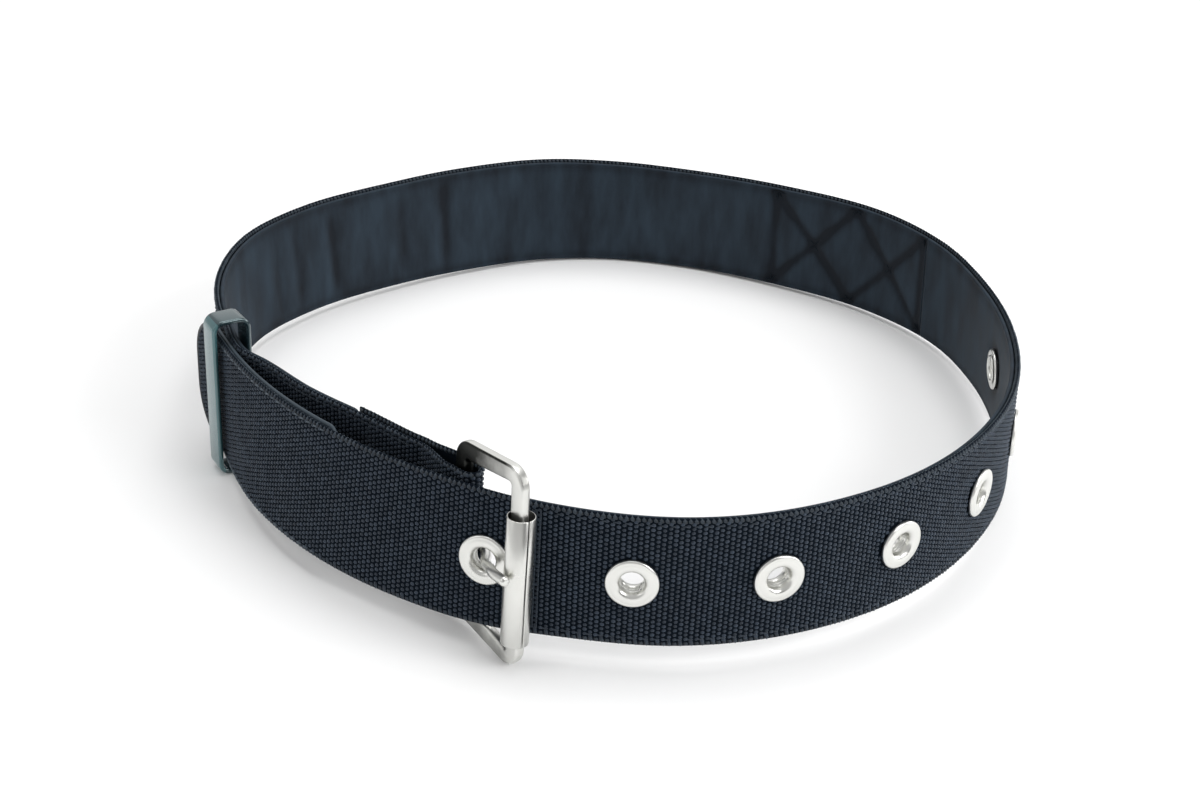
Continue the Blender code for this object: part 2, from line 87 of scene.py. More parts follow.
webbingHalf, liningHalf, facingHalf = (
    belt[layer + "Thick"] / 2 for layer in ("webbing", "lining", "facing")
)

eyelets = {
    "eyelet_in_use": 255.8,
    "eyelet_1": 274.2,
    "eyelet_2": 291.8,
    "eyelet_3": 309.4,
    "eyelet_4": 327.0,
    "eyelet_5": 344.8,
    "eyelet_6": 363.9,
}


# The belt's shape

def smoothColumn(values, angle):
    # a cubic whose slopes come from the rows beside it
    slopes = np.gradient(values, sectionAngle)
    upper = np.clip(np.searchsorted(sectionAngle, angle), 1, len(sectionAngle) - 1)
    lower = upper - 1
    span = sectionAngle[upper] - sectionAngle[lower]
    t = (angle - sectionAngle[lower]) / span
    near = (2 * t**3 - 3 * t**2 + 1) * values[lower] + (t**3 - 2 * t**2 + t) * span * slopes[lower]
    far = (3 * t**2 - 2 * t**3) * values[upper] + (t**3 - t**2) * span * slopes[upper]
    return near + far


def radial(angle):
    turn = np.radians(angle)
    return np.stack([np.cos(turn), np.sin(turn), np.zeros_like(turn)], axis=-1)


def facePoint(angle):
    angle = np.asarray(angle, dtype=float)
    point = radial(angle) * smoothColumn(sectionRadius, angle)[..., None]
    point[..., 2] = halfWidth
    return point


def faceNormal(angle):
    along = facePoint(np.asarray(angle) + 0.2) - facePoint(np.asarray(angle) - 0.2)
    return unit(np.stack([along[..., 1], -along[..., 0], np.zeros_like(along[..., 0])], axis=-1))


def leanAt(angle):
    angle = np.asarray(angle, dtype=float)
    return radial(angle) * smoothColumn(sectionLean, angle)[..., None]


def unit(vectors):
    return vectors / np.maximum(np.linalg.norm(vectors, axis=-1, keepdims=True), 1e-9)


def strapPath(points, leans, angles):
    # the middle of a strap's thickness at mid height, with the distance along it
    step = np.linalg.norm(np.diff(points, axis=0), axis=1)
    return {
        "mid": points,
        "lean": leans,
        "angle": angles,
        "along": np.concatenate([[0.0], np.cumsum(step)]),
        "tangent": unit(np.gradient(points, axis=0)),
    }


def pathBetween(start, end, inset):
    angles = np.linspace(start, end, max(3, int(abs(end - start) * 4)))
    return strapPath(facePoint(angles) - faceNormal(angles) * inset, leanAt(angles), angles)


def onStrap(path, along, height, out):
    # places on a strap and the three directions there: along it, up it and out of it
    along = np.clip(along, 0.0, path["along"][-1])
    mid, lean, tangent = (
        np.stack([np.interp(along, path["along"], path[key][:, axis]) for axis in range(3)], axis=-1)
        for key in ("mid", "lean", "tangent")
    )
    rise = lean / belt["width"] + np.array([0.0, 0.0, 1.0])
    up = unit(rise)
    tangent = unit(tangent)
    outward = unit(np.cross(tangent, up))
    tangent = np.cross(up, outward)
    place = mid + rise * np.asarray(height)[..., None] + outward * np.asarray(out)[..., None]
    return place, tangent, up, outward


def alongAt(path, angle):
    return float(np.interp(angle, path["angle"], path["along"]))


# Making meshes

def placed(points, matrix):
    return np.asarray(points) @ np.array(matrix.to_3x3()).T + np.array(matrix.translation)


def fullTurn(sides):
    return np.linspace(0, 2 * math.pi, sides, endpoint=False)


def addObject(name, data):
    made = bpy.data.objects.new(name, data)
    bpy.context.scene.collection.objects.link(made)
    return made


def plainMesh(name, points, faces=()):
    mesh = bpy.data.meshes.new(name)
    mesh.from_pydata((np.asarray(points) * mm).tolist(), [], faces)
    return mesh


def addAttribute(mesh, name, kind, values):
    attribute = mesh.attributes.new(name, kind, "POINT")
    label = "value" if kind == "FLOAT" else "vector"
    attribute.data.foreach_set(label, np.ravel(values).astype(np.float32))


def newMesh(name, points, faces, material, shade=None):
    mesh = plainMesh(name, placed(points, beltPlace), faces)
    if shade is not None:
        addAttribute(mesh, "shade", "FLOAT", shade)
    shape = bmesh.new()
    shape.from_mesh(mesh)
    bmesh.ops.remove_doubles(shape, verts=shape.verts, dist=mergedWithin)
    bmesh.ops.recalc_face_normals(shape, faces=shape.faces)
    shape.to_mesh(mesh)
    shape.free()
    mesh.materials.append(material)
    mesh.shade_smooth()
    return addObject(name, mesh)


def gridFaces(rows, columns, closedRows=False, capped=False):
    # the faces of a tube whose rows of points run round it, closed into a ring or capped at its ends
    faces = []
    for i in range(rows if closedRows else rows - 1):
        for j in range(columns):
            here, ahead = i * columns, ((i + 1) % rows) * columns
            beside = (j + 1) % columns
            faces.append((here + j, ahead + j, ahead + beside, here + beside))
    if capped:
        faces += [tuple(range(columns)), tuple(range((rows - 1) * columns, rows * columns))]
    return faces


def frozen(item):
    # the item's modifiers worked into its mesh
    graph = bpy.context.evaluated_depsgraph_get()
    mesh = bpy.data.meshes.new_from_object(item.evaluated_get(graph), depsgraph=graph)
    item.modifiers.clear()
    old = item.data
    item.data = mesh
    bpy.data.meshes.remove(old)
    mesh.name = item.name


def shown(item, slotName, *nodes, body="belt"):
    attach(item, body)
    if nodes:
        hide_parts(*nodes)
    return item


def cutAway(item, cutters):
    for cutter in cutters:
        boolean = item.modifiers.new("cut", "BOOLEAN")
        boolean.operation = "DIFFERENCE"
        boolean.solver = "EXACT"
        boolean.object = cutter
    frozen(item)
    item.data.shade_smooth()


def strapMesh(name, path, halfHeight, outer, inner, material, rows, step, shape=None):
    # A closed ribbon with rounded edges. outer and inner are its faces' distances from the path's middle,
    # and shape moves the inner face.
    count = int(path["along"][-1] / step) + 2
    along = np.linspace(0.0, path["along"][-1], count)
    radius = (outer - inner) / 2
    middle = (outer + inner) / 2
    share = np.linspace(-1.0, 1.0, rows)
    turns = np.radians(np.linspace(90, -90, 7)[1:-1])
    edge = [(radius * math.cos(turn), middle + radius * math.sin(turn)) for turn in turns]
    # each line along the strap: its share of the half height, what is added to that, how far out it lies, and
    # whether on the inner face
    lines = [(value, 0.0, outer, False) for value in share]
    lines += [(1.0, side, out, False) for side, out in edge]
    lines += [(value, 0.0, inner, True) for value in share[::-1]]
    lines += [(-1.0, -side, out, False) for side, out in edge[::-1]]
    half = halfHeight(along)
    columns = len(lines)
    grid = np.zeros((count, columns, 3))
    shade = np.full((count, columns), 0.5)
    for j, (fraction, extra, out, isInner) in enumerate(lines):
        height = fraction * (half - radius) + extra
        depth = np.full(count, out)
        if isInner and shape is not None:
            sunk = shape(along, height)
            depth = depth + sunk
            # painted shade and light: the inner face is painted darker where it is sunk, lighter where it
            # stands out
            shade[:, j] = np.clip(0.5 + sunk * belt["shadeDepth"], 0.0, 1.0)
        grid[:, j] = onStrap(path, along, height, depth)[0]
    return newMesh(name, grid.reshape(-1, 3), gridFaces(count, columns, capped=True), material, shade)


def turnedMesh(name, profile, turns, matrix, material, closed=True):
    # a ring, or a tube with an open seam, turned from a closed profile of (radius, height) points round the
    # matrix's own z
    profile = np.array(profile)
    ring = np.stack([
        np.outer(np.cos(turns), profile[:, 0]),
        np.outer(np.sin(turns), profile[:, 0]),
        np.tile(profile[:, 1], (len(turns), 1)),
    ], axis=-1)
    faces = gridFaces(len(turns), len(profile), closedRows=closed, capped=not closed)
    return newMesh(name, placed(ring.reshape(-1, 3), matrix), faces, material)


def roundedOutline(corners, radius, steps, between=0):
    # points round a convex outline whose corners are arcs, with some between the arcs
    arcs = []
    for index, corner in enumerate(corners):
        back = (corners[index - 1] - corner).normalized()
        ahead = (corners[(index + 1) % len(corners)] - corner).normalized()
        half = back.angle(ahead) / 2
        centre = corner + (back + ahead).normalized() * (radius / math.sin(half))
        first = corner + back * (radius / math.tan(half)) - centre
        sweep = (math.pi - 2 * half) * (1 if back.cross(ahead) < 0 else -1)
        arc = []
        for step in range(steps + 1):
            turned = first.copy()
            turned.rotate(Matrix.Rotation(sweep * step / steps, 2))
            arc.append(centre + turned)
        arcs.append(arc)
    points = []
    for index, arc in enumerate(arcs):
        ahead = arcs[(index + 1) % len(arcs)][0]
        points += arc + [arc[-1].lerp(ahead, (step + 1) / (between + 1)) for step in range(between)]
    return np.array(points)


def ringMesh(name, outline, wide, thick, edge, matrix, material, crown=0.0, shadeOf=None):
    # A flat closed ring with rounded edges. outline gives its points at a distance inward from the outside,
    # crown lifts the middle of its face, and shadeOf gives how dark a point at that distance inward is.
    section = []
    for cornerX, cornerZ, start in ((1, 1, 90), (1, -1, 0), (-1, -1, -90), (-1, 1, -180)):
        for turn in np.radians(np.linspace(start, start - 90, 6)):
            x = cornerX * (wide / 2 - edge) + edge * math.cos(turn)
            z = cornerZ * (thick / 2 - edge) + edge * math.sin(turn)
            section.append((x, z))
    section = np.array(section)
    rings = []
    for x, z in section:
        flat = outline(wide / 2 - x)
        lift = crown * (1 - (2 * x / wide) ** 2) * np.sign(z)
        rings.append(np.column_stack([flat, np.full(len(flat), z + lift)]))
    grid = np.stack(rings, axis=1)
    flat = grid.reshape(-1, 3)
    inset = np.tile(wide / 2 - section[:, 0], len(grid))
    shade = None if shadeOf is None else shadeOf(flat, inset)
    faces = gridFaces(len(grid), len(section), closedRows=True)
    return newMesh(name, placed(flat, matrix), faces, material, shade)


def wireMesh(name, points, radii, sides, material):
    # a round wire through those points, with its ends closed
    points = np.array(points, dtype=float)
    tangent = unit(np.gradient(points, axis=0))
    side = np.cross(tangent[0], [0.0, 0.0, 1.0])
    turns = fullTurn(sides)
    rings = []
    for place, way, radius in zip(points, tangent, radii):
        side = unit(side - way * side.dot(way))
        other = np.cross(way, side)
        rings.append(place + radius * (np.outer(np.cos(turns), side) + np.outer(np.sin(turns), other)))
    return newMesh(name, np.concatenate(rings), gridFaces(len(points), sides, capped=True), material)


# Materials

def feed(socket, value):
    # a socket is linked, anything else is set
    if isinstance(value, bpy.types.NodeSocket):
        socket.id_data.links.new(value, socket)
    else:
        socket.default_value = value


def setUp(node, **values):
    # a node's settings and inputs by name, with _ for a space
    for key, value in values.items():
        label = key.replace("_", " ")
        if label in node.inputs:
            feed(node.inputs[label], value)
        else:
            setattr(node, key, value)
    return node


def addNode(tree, kind, *inputs, **values):
    node = setUp(tree.nodes.new(kind), **values)
    for socket, value in zip(node.inputs, inputs):
        feed(socket, value)
    return node


def calc(tree, operation, *values):
    return addNode(tree, "ShaderNodeMath", *values, operation=operation).outputs[0]


def ranged(tree, value, **values):
    return addNode(tree, "ShaderNodeMapRange", value, **values).outputs["Result"]


def mixed(tree, factor, first, second):
    node = addNode(tree, "ShaderNodeMix", data_type="RGBA", Factor=factor, A=first, B=second)
    return node.outputs["Result"]


def cloudy(tree, place, **values):
    return addNode(tree, "ShaderNodeTexNoise", Vector=place, **values).outputs["Fac"]


socketKinds = {float: "Float", int: "Int", tuple: "Color"}


def newGroup(name, kind, inputs, outputs):
    # A node group's tree, what it is given, its output node, and its inputs' identifiers. An input is named
    # with its value, or with its kind where it has none.
    tree = bpy.data.node_groups.new(name, kind)
    ids = {}
    for label, value in inputs.items():
        socketKind = value if isinstance(value, str) else socketKinds[type(value)]
        socket = tree.interface.new_socket(label, in_out="INPUT", socket_type="NodeSocket" + socketKind)
        if value != socketKind:
            socket.default_value = value
        ids[label] = socket.identifier
    for label, socketKind in outputs.items():
        tree.interface.new_socket(label, in_out="OUTPUT", socket_type="NodeSocket" + socketKind)
    return tree, tree.nodes.new("NodeGroupInput").outputs, tree.nodes.new("NodeGroupOutput"), ids


surface = {"Colour": "Color", "Relief": "Float", "Roughness": "Float"}
tones = {"Dark": (0.01, 0.01, 0.01, 1.0), "Light": (0.05, 0.05, 0.05, 1.0)}


def yarnGroup():
    # twisted filaments on a yarn: their relief, and how the dye varies from yarn to yarn
    tree, given, made, _ = newGroup("yarn filaments", "ShaderNodeTree", {
        "Filaments": 5.0, "Twist": 0.5, "Rim Along": 4.0, "Rim Up": 4.0, **tones,
    }, surface)
    onYarn = addNode(tree, "ShaderNodeUVMap", uv_map="yarn").outputs["UV"]
    split = addNode(tree, "ShaderNodeSeparateXYZ", onYarn).outputs
    along, up = split["X"], split["Y"]
    slanted = calc(tree, "MULTIPLY_ADD", up, given["Twist"], along)
    turns = calc(tree, "MULTIPLY", given["Filaments"], 2 * math.pi)
    cloud = cloudy(tree, addNode(tree, "ShaderNodeTexCoord").outputs["Object"], Scale=90.0, Detail=3.0)
    dye = addNode(tree, "ShaderNodeAttribute", attribute_name="dye").outputs["Fac"]
    grey = calc(tree, "MULTIPLY_ADD", dye, 0.5, calc(tree, "MULTIPLY", cloud, 0.5))
    dyed = mixed(tree, grey, given["Dark"], given["Light"])
    # painted shade: a yarn is painted darker toward its rim, where it dives between its neighbours and shade
    # falls
    rimAlong = calc(tree, "MULTIPLY", calc(tree, "MULTIPLY", along, along), given["Rim Along"])
    rim = calc(tree, "MULTIPLY_ADD", calc(tree, "MULTIPLY", up, up), given["Rim Up"], rimAlong)
    gapShade = ranged(tree, rim, From_Min=0.15, interpolation_type="SMOOTHSTEP")
    setUp(
        made, Colour=mixed(tree, gapShade, dyed, (0.0035, 0.0065, 0.011, 1.0)),
        Relief=calc(tree, "SINE", calc(tree, "MULTIPLY", slanted, turns)),
        Roughness=ranged(tree, cloud, To_Min=0.5, To_Max=0.72),
    )
    return tree


def mottleGroup():
    # soft cloudy change, from one colour to another, with a fine grain
    tree, given, made, _ = newGroup("mottle", "ShaderNodeTree", {
        "Size": 60.0, "Grain": 1500.0, **tones, "Smoothest": 0.4, "Roughest": 0.6,
        "Shade": 0.5, "Shade Amount": 0.0, "Upright": 1.0,
    }, surface)
    place = addNode(tree, "ShaderNodeTexCoord").outputs["Object"]
    # below 1, Upright draws the clouds out into upright streaks
    across = addNode(tree, "ShaderNodeCombineXYZ", X=1.0, Y=1.0, Z=given["Upright"]).outputs[0]
    drawn = addNode(tree, "ShaderNodeVectorMath", place, across, operation="MULTIPLY").outputs[0]
    cloud = cloudy(tree, drawn, Scale=given["Size"], Detail=4.0)
    spread = ranged(tree, cloud, From_Min=0.3, From_Max=0.7, To_Min=0.2, To_Max=0.8)
    # painted shade and light: what is sunk is painted darker, what stands out is painted lighter
    paintedLift = calc(tree, "SUBTRACT", 0.5, given["Shade"])
    lit = calc(tree, "MULTIPLY_ADD", paintedLift, given["Shade Amount"], spread)
    setUp(
        made, Colour=mixed(tree, lit, given["Dark"], given["Light"]),
        Relief=cloudy(tree, place, Scale=given["Grain"], Detail=2.0),
        Roughness=ranged(tree, cloud, To_Min=given["Smoothest"], To_Max=given["Roughest"]),
    )
    return tree


def newMaterial(name, **values):
    material = bpy.data.materials.new(name)
    material.use_nodes = True
    return material, setUp(material.node_tree.nodes["Principled BSDF"], **values)


def groupMaterial(name, group, dark, light, relief, depth, shader=None, **inputs):
    # a material whose colour, roughness and relief come from a group, the rest from the shader's own values
    material, principled = newMaterial(name, **(shader or {}))
    tree = material.node_tree
    if "Shade_Amount" in inputs:
        inputs["Shade"] = addNode(tree, "ShaderNodeAttribute", attribute_name="shade").outputs["Fac"]
    node = addNode(tree, "ShaderNodeGroup", node_tree=group, Dark=(*dark, 1.0), Light=(*light, 1.0), **inputs)
    bump = addNode(tree, "ShaderNodeBump", Strength=relief, Distance=depth, Height=node.outputs["Relief"])
    colour, roughness = node.outputs["Colour"], node.outputs["Roughness"]
    setUp(principled, Base_Color=colour, Roughness=roughness, Normal=bump.outputs["Normal"])
    return material


yarns = yarnGroup()
mottles = mottleGroup()
yarnDepth, clothDepth, groundDepth, metalDepth = 0.00004, 0.00008, 0.0001, 0.00004
nylon = {
    "Specular_IOR_Level": 0.45, "Sheen_Weight": 0.32, "Sheen_Roughness": 0.3,
    "Sheen_Tint": (0.72, 0.87, 1.0, 1.0),
}
metal = {"Metallic": 1.0}
thread = {"Filaments": 3.0, "Twist": 1.2, "Rim_Along": 1.5, "Rim_Up": 0.0}
webbingYarn = groupMaterial(
    "webbing yarn", yarns, (0.006, 0.013, 0.023), (0.028, 0.046, 0.074), 0.5, yarnDepth, nylon,
    Filaments=5.0, Twist=0.5, Rim_Along=3.4, Rim_Up=3.4,
)
selvedgeYarn = groupMaterial(
    "selvedge yarn", yarns, (0.010, 0.017, 0.026), (0.030, 0.045, 0.062), 0.5, yarnDepth, nylon,
    Filaments=4.0, Twist=0.6, Rim_Along=3.6, Rim_Up=0.0,
)
sewingThread = groupMaterial(
    "sewing thread", yarns, (0.008, 0.015, 0.024), (0.024, 0.037, 0.056), 0.6, yarnDepth, nylon, **thread,
)
tailThread = groupMaterial(
    "thread of the free end", yarns, (0.040, 0.056, 0.074), (0.095, 0.120, 0.145), 0.6, yarnDepth, nylon,
    **thread,
)
liningThread = groupMaterial(
    "lining thread", yarns, (0.004, 0.008, 0.013), (0.010, 0.017, 0.025), 0.6, yarnDepth,
    {"Specular_IOR_Level": 0.1}, **thread,
)
# painted shade: the ground under the yarns is darker than the yarns, for the shade in the gaps between them
webbingGround = groupMaterial(
    "webbing ground", mottles, (0.003, 0.0055, 0.0095), (0.005, 0.009, 0.015), 0.4, groundDepth,
    {"Specular_IOR_Level": 0.05}, Size=300.0, Grain=2500.0, Smoothest=0.75, Roughest=0.9,
)
sealedNylon = groupMaterial(
    "sealed nylon", mottles, (0.006, 0.010, 0.015), (0.012, 0.018, 0.026), 0.3, groundDepth,
    Size=200.0, Grain=1500.0, Smoothest=0.4, Roughest=0.6,
)
# painted shade and light: the shade attribute darkens it where sunk and lightens it where it stands out
liningCloth = groupMaterial(
    "lining cloth", mottles, (0.003, 0.006, 0.011), (0.024, 0.040, 0.058), 0.3, clothDepth,
    {"Specular_IOR_Level": 0.2, "Sheen_Weight": 0.02, "Sheen_Roughness": 0.4},
    Size=130.0, Grain=2200.0, Smoothest=0.55, Roughest=0.75, Shade_Amount=1.6, Upright=0.3,
)
facingCloth = groupMaterial(
    "facing cloth", mottles, (0.026, 0.039, 0.052), (0.044, 0.062, 0.078), 0.3, clothDepth,
    {"Specular_IOR_Level": 0.3}, Size=60.0, Grain=2200.0, Smoothest=0.45, Roughest=0.65,
)
nickel = groupMaterial(
    "nickel plate", mottles, (0.69, 0.69, 0.66), (0.75, 0.75, 0.72), 0.05, metalDepth, metal,
    Size=120.0, Grain=900.0, Smoothest=0.24, Roughest=0.34,
)
# painted shade and reflection: the frame's shade attribute takes it toward its near-black Dark tone
frameNickel = groupMaterial(
    "satin nickel of the frame", mottles, (0.03, 0.031, 0.029), (0.72, 0.72, 0.69), 0.05, metalDepth, metal,
    Size=90.0, Grain=900.0, Smoothest=0.30, Roughest=0.40, Shade_Amount=1.3,
)
# painted shade: a darker nickel, and rougher, for the inside of the roller's tube, where shade falls
hollowShadeNickel = groupMaterial(
    "dull nickel", mottles, (0.05, 0.05, 0.048), (0.10, 0.10, 0.095), 0.05, metalDepth, metal,
    Size=90.0, Grain=900.0, Smoothest=0.5, Roughest=0.6,
)
# painted light and shade: the shade attribute gives its outer face the Light tone, its top and bottom the Dark
keeperPlastic = groupMaterial(
    "keeper plastic", mottles, (0.012, 0.026, 0.032), (0.040, 0.105, 0.115), 0.04, metalDepth,
    {"IOR": 1.8, "Specular_Tint": (0.74, 0.97, 1.0, 1.0), "Coat_Weight": 0.5, "Coat_Roughness": 0.12},
    Size=50.0, Grain=1200.0, Smoothest=0.18, Roughest=0.28, Shade_Amount=1.6,
)
print("materials made")


# Repeats: yarns, selvedge loops and stitches

def pillow(name, long, wide, high, sides=6):
    # a low dome with x along the belt and y up it, whose crest lies above its middle
    points = []
    for share, rise, shift in ((1.0, 0.0, 0.0), (0.62, 0.74, 0.12)):
        for turn in fullTurn(sides):
            height = share * math.sin(turn) + shift
            points.append((share * long / 2 * math.cos(turn), height * wide / 2, rise * high))
    points.append((0.0, 0.2 * wide / 2, high))
    around = [(side, (side + 1) % sides) for side in range(sides)]
    faces = [(a, b, b + sides, a + sides) for a, b in around]
    faces += [(a + sides, b + sides, 2 * sides) for a, b in around]
    return sourceObject(name, points, faces, long, wide)


def bentBand(name, wide, radius, down, slant, high, low):
    # a yarn that turns over the strap's edge, from one face to the other, with x along the belt and y up it
    way = [(-down * share, radius) for share in (1.0, 0.5)]
    way += [(radius * math.sin(turn), radius * math.cos(turn)) for turn in np.radians(np.linspace(0, 180, 6))]
    way += [(-down * share, -radius) for share in (0.5, 1.0)]
    points, faces = [], []
    last = len(way) - 1
    for step, (rise, out) in enumerate(way):
        sunk = 0.35 if step in (0, last) else 0.0
        for column, lift in ((-1, low), (0, high), (1, low)):
            reach = 1 + (lift - sunk) / radius
            height = rise * reach if rise > 0 else rise
            slide = slant * (1 - 2 * step / last)
            points.append((column * wide / 2 + slide, height, out * reach))
    for step in range(last):
        for column in range(2):
            first = step * 3 + column
            faces.append((first, first + 1, first + 4, first + 3))
    return sourceObject(name, points, faces, wide, 2 * radius)


def threadStitch(name, long, thick, sides=6):
    # a stitch that dips into the cloth at both ends, drawn from one end to the other: its place along the
    # stitch, its size and how high it lies
    stations = (
        (-0.5, 0.35, -0.9), (-0.42, 0.85, -0.2), (-0.2, 1.0, 0.25),
        (0.2, 1.0, 0.25), (0.42, 0.85, -0.2), (0.5, 0.35, -0.9),
    )
    points = []
    for share, size, rise in stations:
        for turn in fullTurn(sides):
            reach = size * thick / 2
            points.append((share * long, reach * math.cos(turn), reach * math.sin(turn) + rise * thick / 2))
    faces = gridFaces(len(stations), sides, capped=True)
    faces[-1] = faces[-1][::-1]
    return sourceObject(name, points, faces, long, thick)


def sourceObject(name, points, faces, long, wide):
    mesh = plainMesh(name, points, faces)
    shape = bmesh.new()
    shape.from_mesh(mesh)
    yarn = shape.loops.layers.uv.new("yarn")
    for face in shape.faces:
        for loop in face.loops:
            loop[yarn].uv = (loop.vert.co.x / mm / long, loop.vert.co.y / mm / wide)
    shape.to_mesh(mesh)
    shape.free()
    mesh.shade_smooth()
    return bpy.data.objects.new(name, mesh)


def repeatTree():
    # puts one copy of a small object on each point, turned to the point's own directions
    tree, given, made, ids = newGroup("yarn on each point", "GeometryNodeTree", {
        "Geometry": "Geometry", "Yarn": "Object", "Thread": "Material", "Smallest": 0.95, "Largest": 1.05,
        "Seed": 7,
    }, {"Geometry": "Geometry"})
    outward, lengthwise = (
        addNode(tree, "GeometryNodeInputNamedAttribute", data_type="FLOAT_VECTOR", Name=name).outputs[0]
        for name in ("outward", "lengthwise")
    )
    turned = addNode(tree, "FunctionNodeAxesToRotation", outward, lengthwise)
    setUp(turned, primary_axis="Z", secondary_axis="X")
    size, dye = (
        addNode(tree, "FunctionNodeRandomValue", data_type="FLOAT", Min=low, Max=high, Seed=given["Seed"])
        for low, high in ((given["Smallest"], given["Largest"]), (0.0, 1.0))
    )
    source = addNode(tree, "GeometryNodeObjectInfo", Object=given["Yarn"])
    copies = addNode(
        tree, "GeometryNodeInstanceOnPoints", Points=given["Geometry"], Instance=source.outputs["Geometry"],
        Rotation=turned.outputs["Rotation"], Scale=size.outputs["Value"],
    )
    dyed = addNode(
        tree, "GeometryNodeStoreNamedAttribute", data_type="FLOAT", domain="INSTANCE", Name="dye",
        Geometry=copies.outputs["Instances"], Value=dye.outputs["Value"],
    )
    real = addNode(tree, "GeometryNodeRealizeInstances", dyed.outputs["Geometry"])
    dressed = addNode(tree, "GeometryNodeSetMaterial", real.outputs["Geometry"], Material=given["Thread"])
    setUp(made, Geometry=dressed.outputs["Geometry"])
    return tree, ids


repeat, repeatIds = repeatTree()


def repeated(name, places, lengthwise, outward, source, material, jitter, seed=7):
    turn = np.array(beltPlace.to_3x3())
    mesh = plainMesh(name, placed(places, beltPlace))
    addAttribute(mesh, "lengthwise", "FLOAT_VECTOR", lengthwise @ turn.T)
    addAttribute(mesh, "outward", "FLOAT_VECTOR", outward @ turn.T)
    made = addObject(name, mesh)
    modifier = made.modifiers.new("yarns", "NODES")
    modifier.node_group = repeat
    settings = {
        "Yarn": source, "Thread": material, "Smallest": 1.0 - jitter, "Largest": 1.0 + jitter, "Seed": seed,
    }
    for key, value in settings.items():
        modifier[repeatIds[key]] = value
    frozen(made)
    made.data.materials.clear()
    made.data.materials.append(material)
    return made


weave = {
    "columnPitch": 1.87,
    "rowPitch": 1.74,
    "rowsEachWay": 16,       # from the middle of the strap
    "innerPast": 1.0,        # how far the inner side's rows run under the facing and the lining
    "edgeRoom": 0.6,
    "tipRoom": 1.9,
    "knuckle": {"long": 1.82, "wide": 1.66, "high": 0.66},
    "slant": 16.0,
    "strays": (0.07, 0.09, 7.0),      # of a knuckle, along and up the strap and in degrees
    "jitter": (0.08, 0.06, 0.05),     # how much knuckles, loops and the inner side's knuckles differ in size
    "topBelow": 0.10,        # how far the yarns' tops lie under the strap's true face
    "groundBelow": 0.58,
    "loop": {"wide": 1.5, "radius": 0.86, "down": 0.7, "slant": 0.4, "high": 0.2, "low": -0.35},
    "loopPitch": 1.87,
    "sealedRadius": 0.96,    # of the smooth rim along a cut end
    "sealedInset": (0.98, 0.9),       # of its middle, at the tip and at the raw end
    "sealedSpan": (-24.4, 24.6),
    "sealedRun": (6.0, 3.0),          # its points past the rounding of the tip
}
sewing = {
    "line": 2.8,             # from the edge
    "long": 2.7,
    "pitch": 3.74,
    "thick": 0.6,
    "fineThick": 0.4,
    "jitter": 0.04,
    "below": 0.30,           # how far a stitch's middle lies under the yarns' tops
    "sunk": 0.16,            # how far the other stitches lie under those of the free end
    "tailLine": 1.5,
    "tailRise": 0.2,
    "tailLong": 2.2,
    "tailSpan": (14.0, 2.5),          # from the tip and from the end of the facing
    "tackLong": 1.9,
    "tackPitch": 1.75,
    "tackLines": (0.0, 1.4, 2.8),
    "tackFrom": 2.0,         # the lining's end
    "endStop": 1.0,          # where the webbing's edge seams stop short of its ends
    "foldStop": 4.0,         # and of the fold
    "jointSeam": 3.0,        # the buckle side's first upright seam, from its end
    "boxFirst": 0.8,         # where the box's seams stand, in degrees: past the lining's joint
    "boxLast": 0.5,          # before the webbing's joint
    "boxMiddle": 401.0,      # the outer webbing's cross seam
    "boxLeft": 421.1,
    "rawSeam": 591.0,
    "aboveEdge": 0.22,       # how far stitches stand out of the lining's seams
    "aboveCross": 0.20,
    "aboveFacing": 0.05,
}
knuckle = pillow("webbing knuckle", **weave["knuckle"])
edgeLoop = bentBand("selvedge loop", **weave["loop"])
stitch = threadStitch("lockstitch", sewing["long"], sewing["thick"])
tailStitch = threadStitch("stitch of the free end", sewing["tailLong"], sewing["thick"])
tackStitch = threadStitch("bar stitch", sewing["tackLong"], sewing["thick"])
fineStitch = threadStitch("lining stitch", sewing["long"], sewing["fineThick"])


def knucklesOn(path, halfHeight, side, start, end, clear):
    # rows and columns of yarn knuckles on one face, every second column half a row higher
    columns = np.arange(start + weave["columnPitch"] / 2, end, weave["columnPitch"])
    rows = np.arange(-weave["rowsEachWay"], weave["rowsEachWay"] + 1) * weave["rowPitch"]
    odd = np.repeat(np.arange(len(columns)) % 2, len(rows))
    along = np.repeat(columns, len(rows))
    height = np.tile(rows, len(columns)) + weave["rowPitch"] / 2 * odd - weave["rowPitch"] / 4
    slant = np.where(odd, weave["slant"], -weave["slant"])
    kept = np.abs(height) < halfWidth - weave["edgeRoom"]
    if halfHeight(np.zeros(1))[0] < halfWidth:        # the rounded tip
        radius = belt["tipRadius"]
        past, aside = radius - along, np.abs(height) - halfWidth + radius
        kept &= np.hypot(np.maximum(past, 0), np.maximum(aside, 0)) < radius - weave["tipRoom"]
    along, height, slant = along[kept], height[kept], slant[kept]
    random = np.random.default_rng(21)
    along, height, slant = (
        values + random.uniform(-stray, stray, len(values))
        for values, stray in zip((along, height, slant), weave["strays"])
    )
    top = webbingHalf - weave["topBelow"] - weave["knuckle"]["high"]
    place, tangent, up, outward = onStrap(path, along, height, np.full(len(along), side * top))
    kept = clear(place)
    turn = np.radians(slant)[:, None]
    lengthwise = tangent * np.cos(turn) + up * np.sin(turn)
    return place[kept], lengthwise[kept] * side, outward[kept] * side


def loopsOn(path, halfHeight, start):
    # yarns that turn over both edges
    length = path["along"][-1] - start
    count = int(length / weave["loopPitch"])
    along = start + (np.arange(count) + 0.5) * length / count
    result = []
    for edge in (-1, 1):
        height = edge * (halfHeight(along) - webbingHalf)
        place, tangent, up, outward = onStrap(path, along, height, np.zeros(len(along)))
        result.append((place, tangent * edge, outward))
    return tuple(np.concatenate(values) for values in zip(*result))


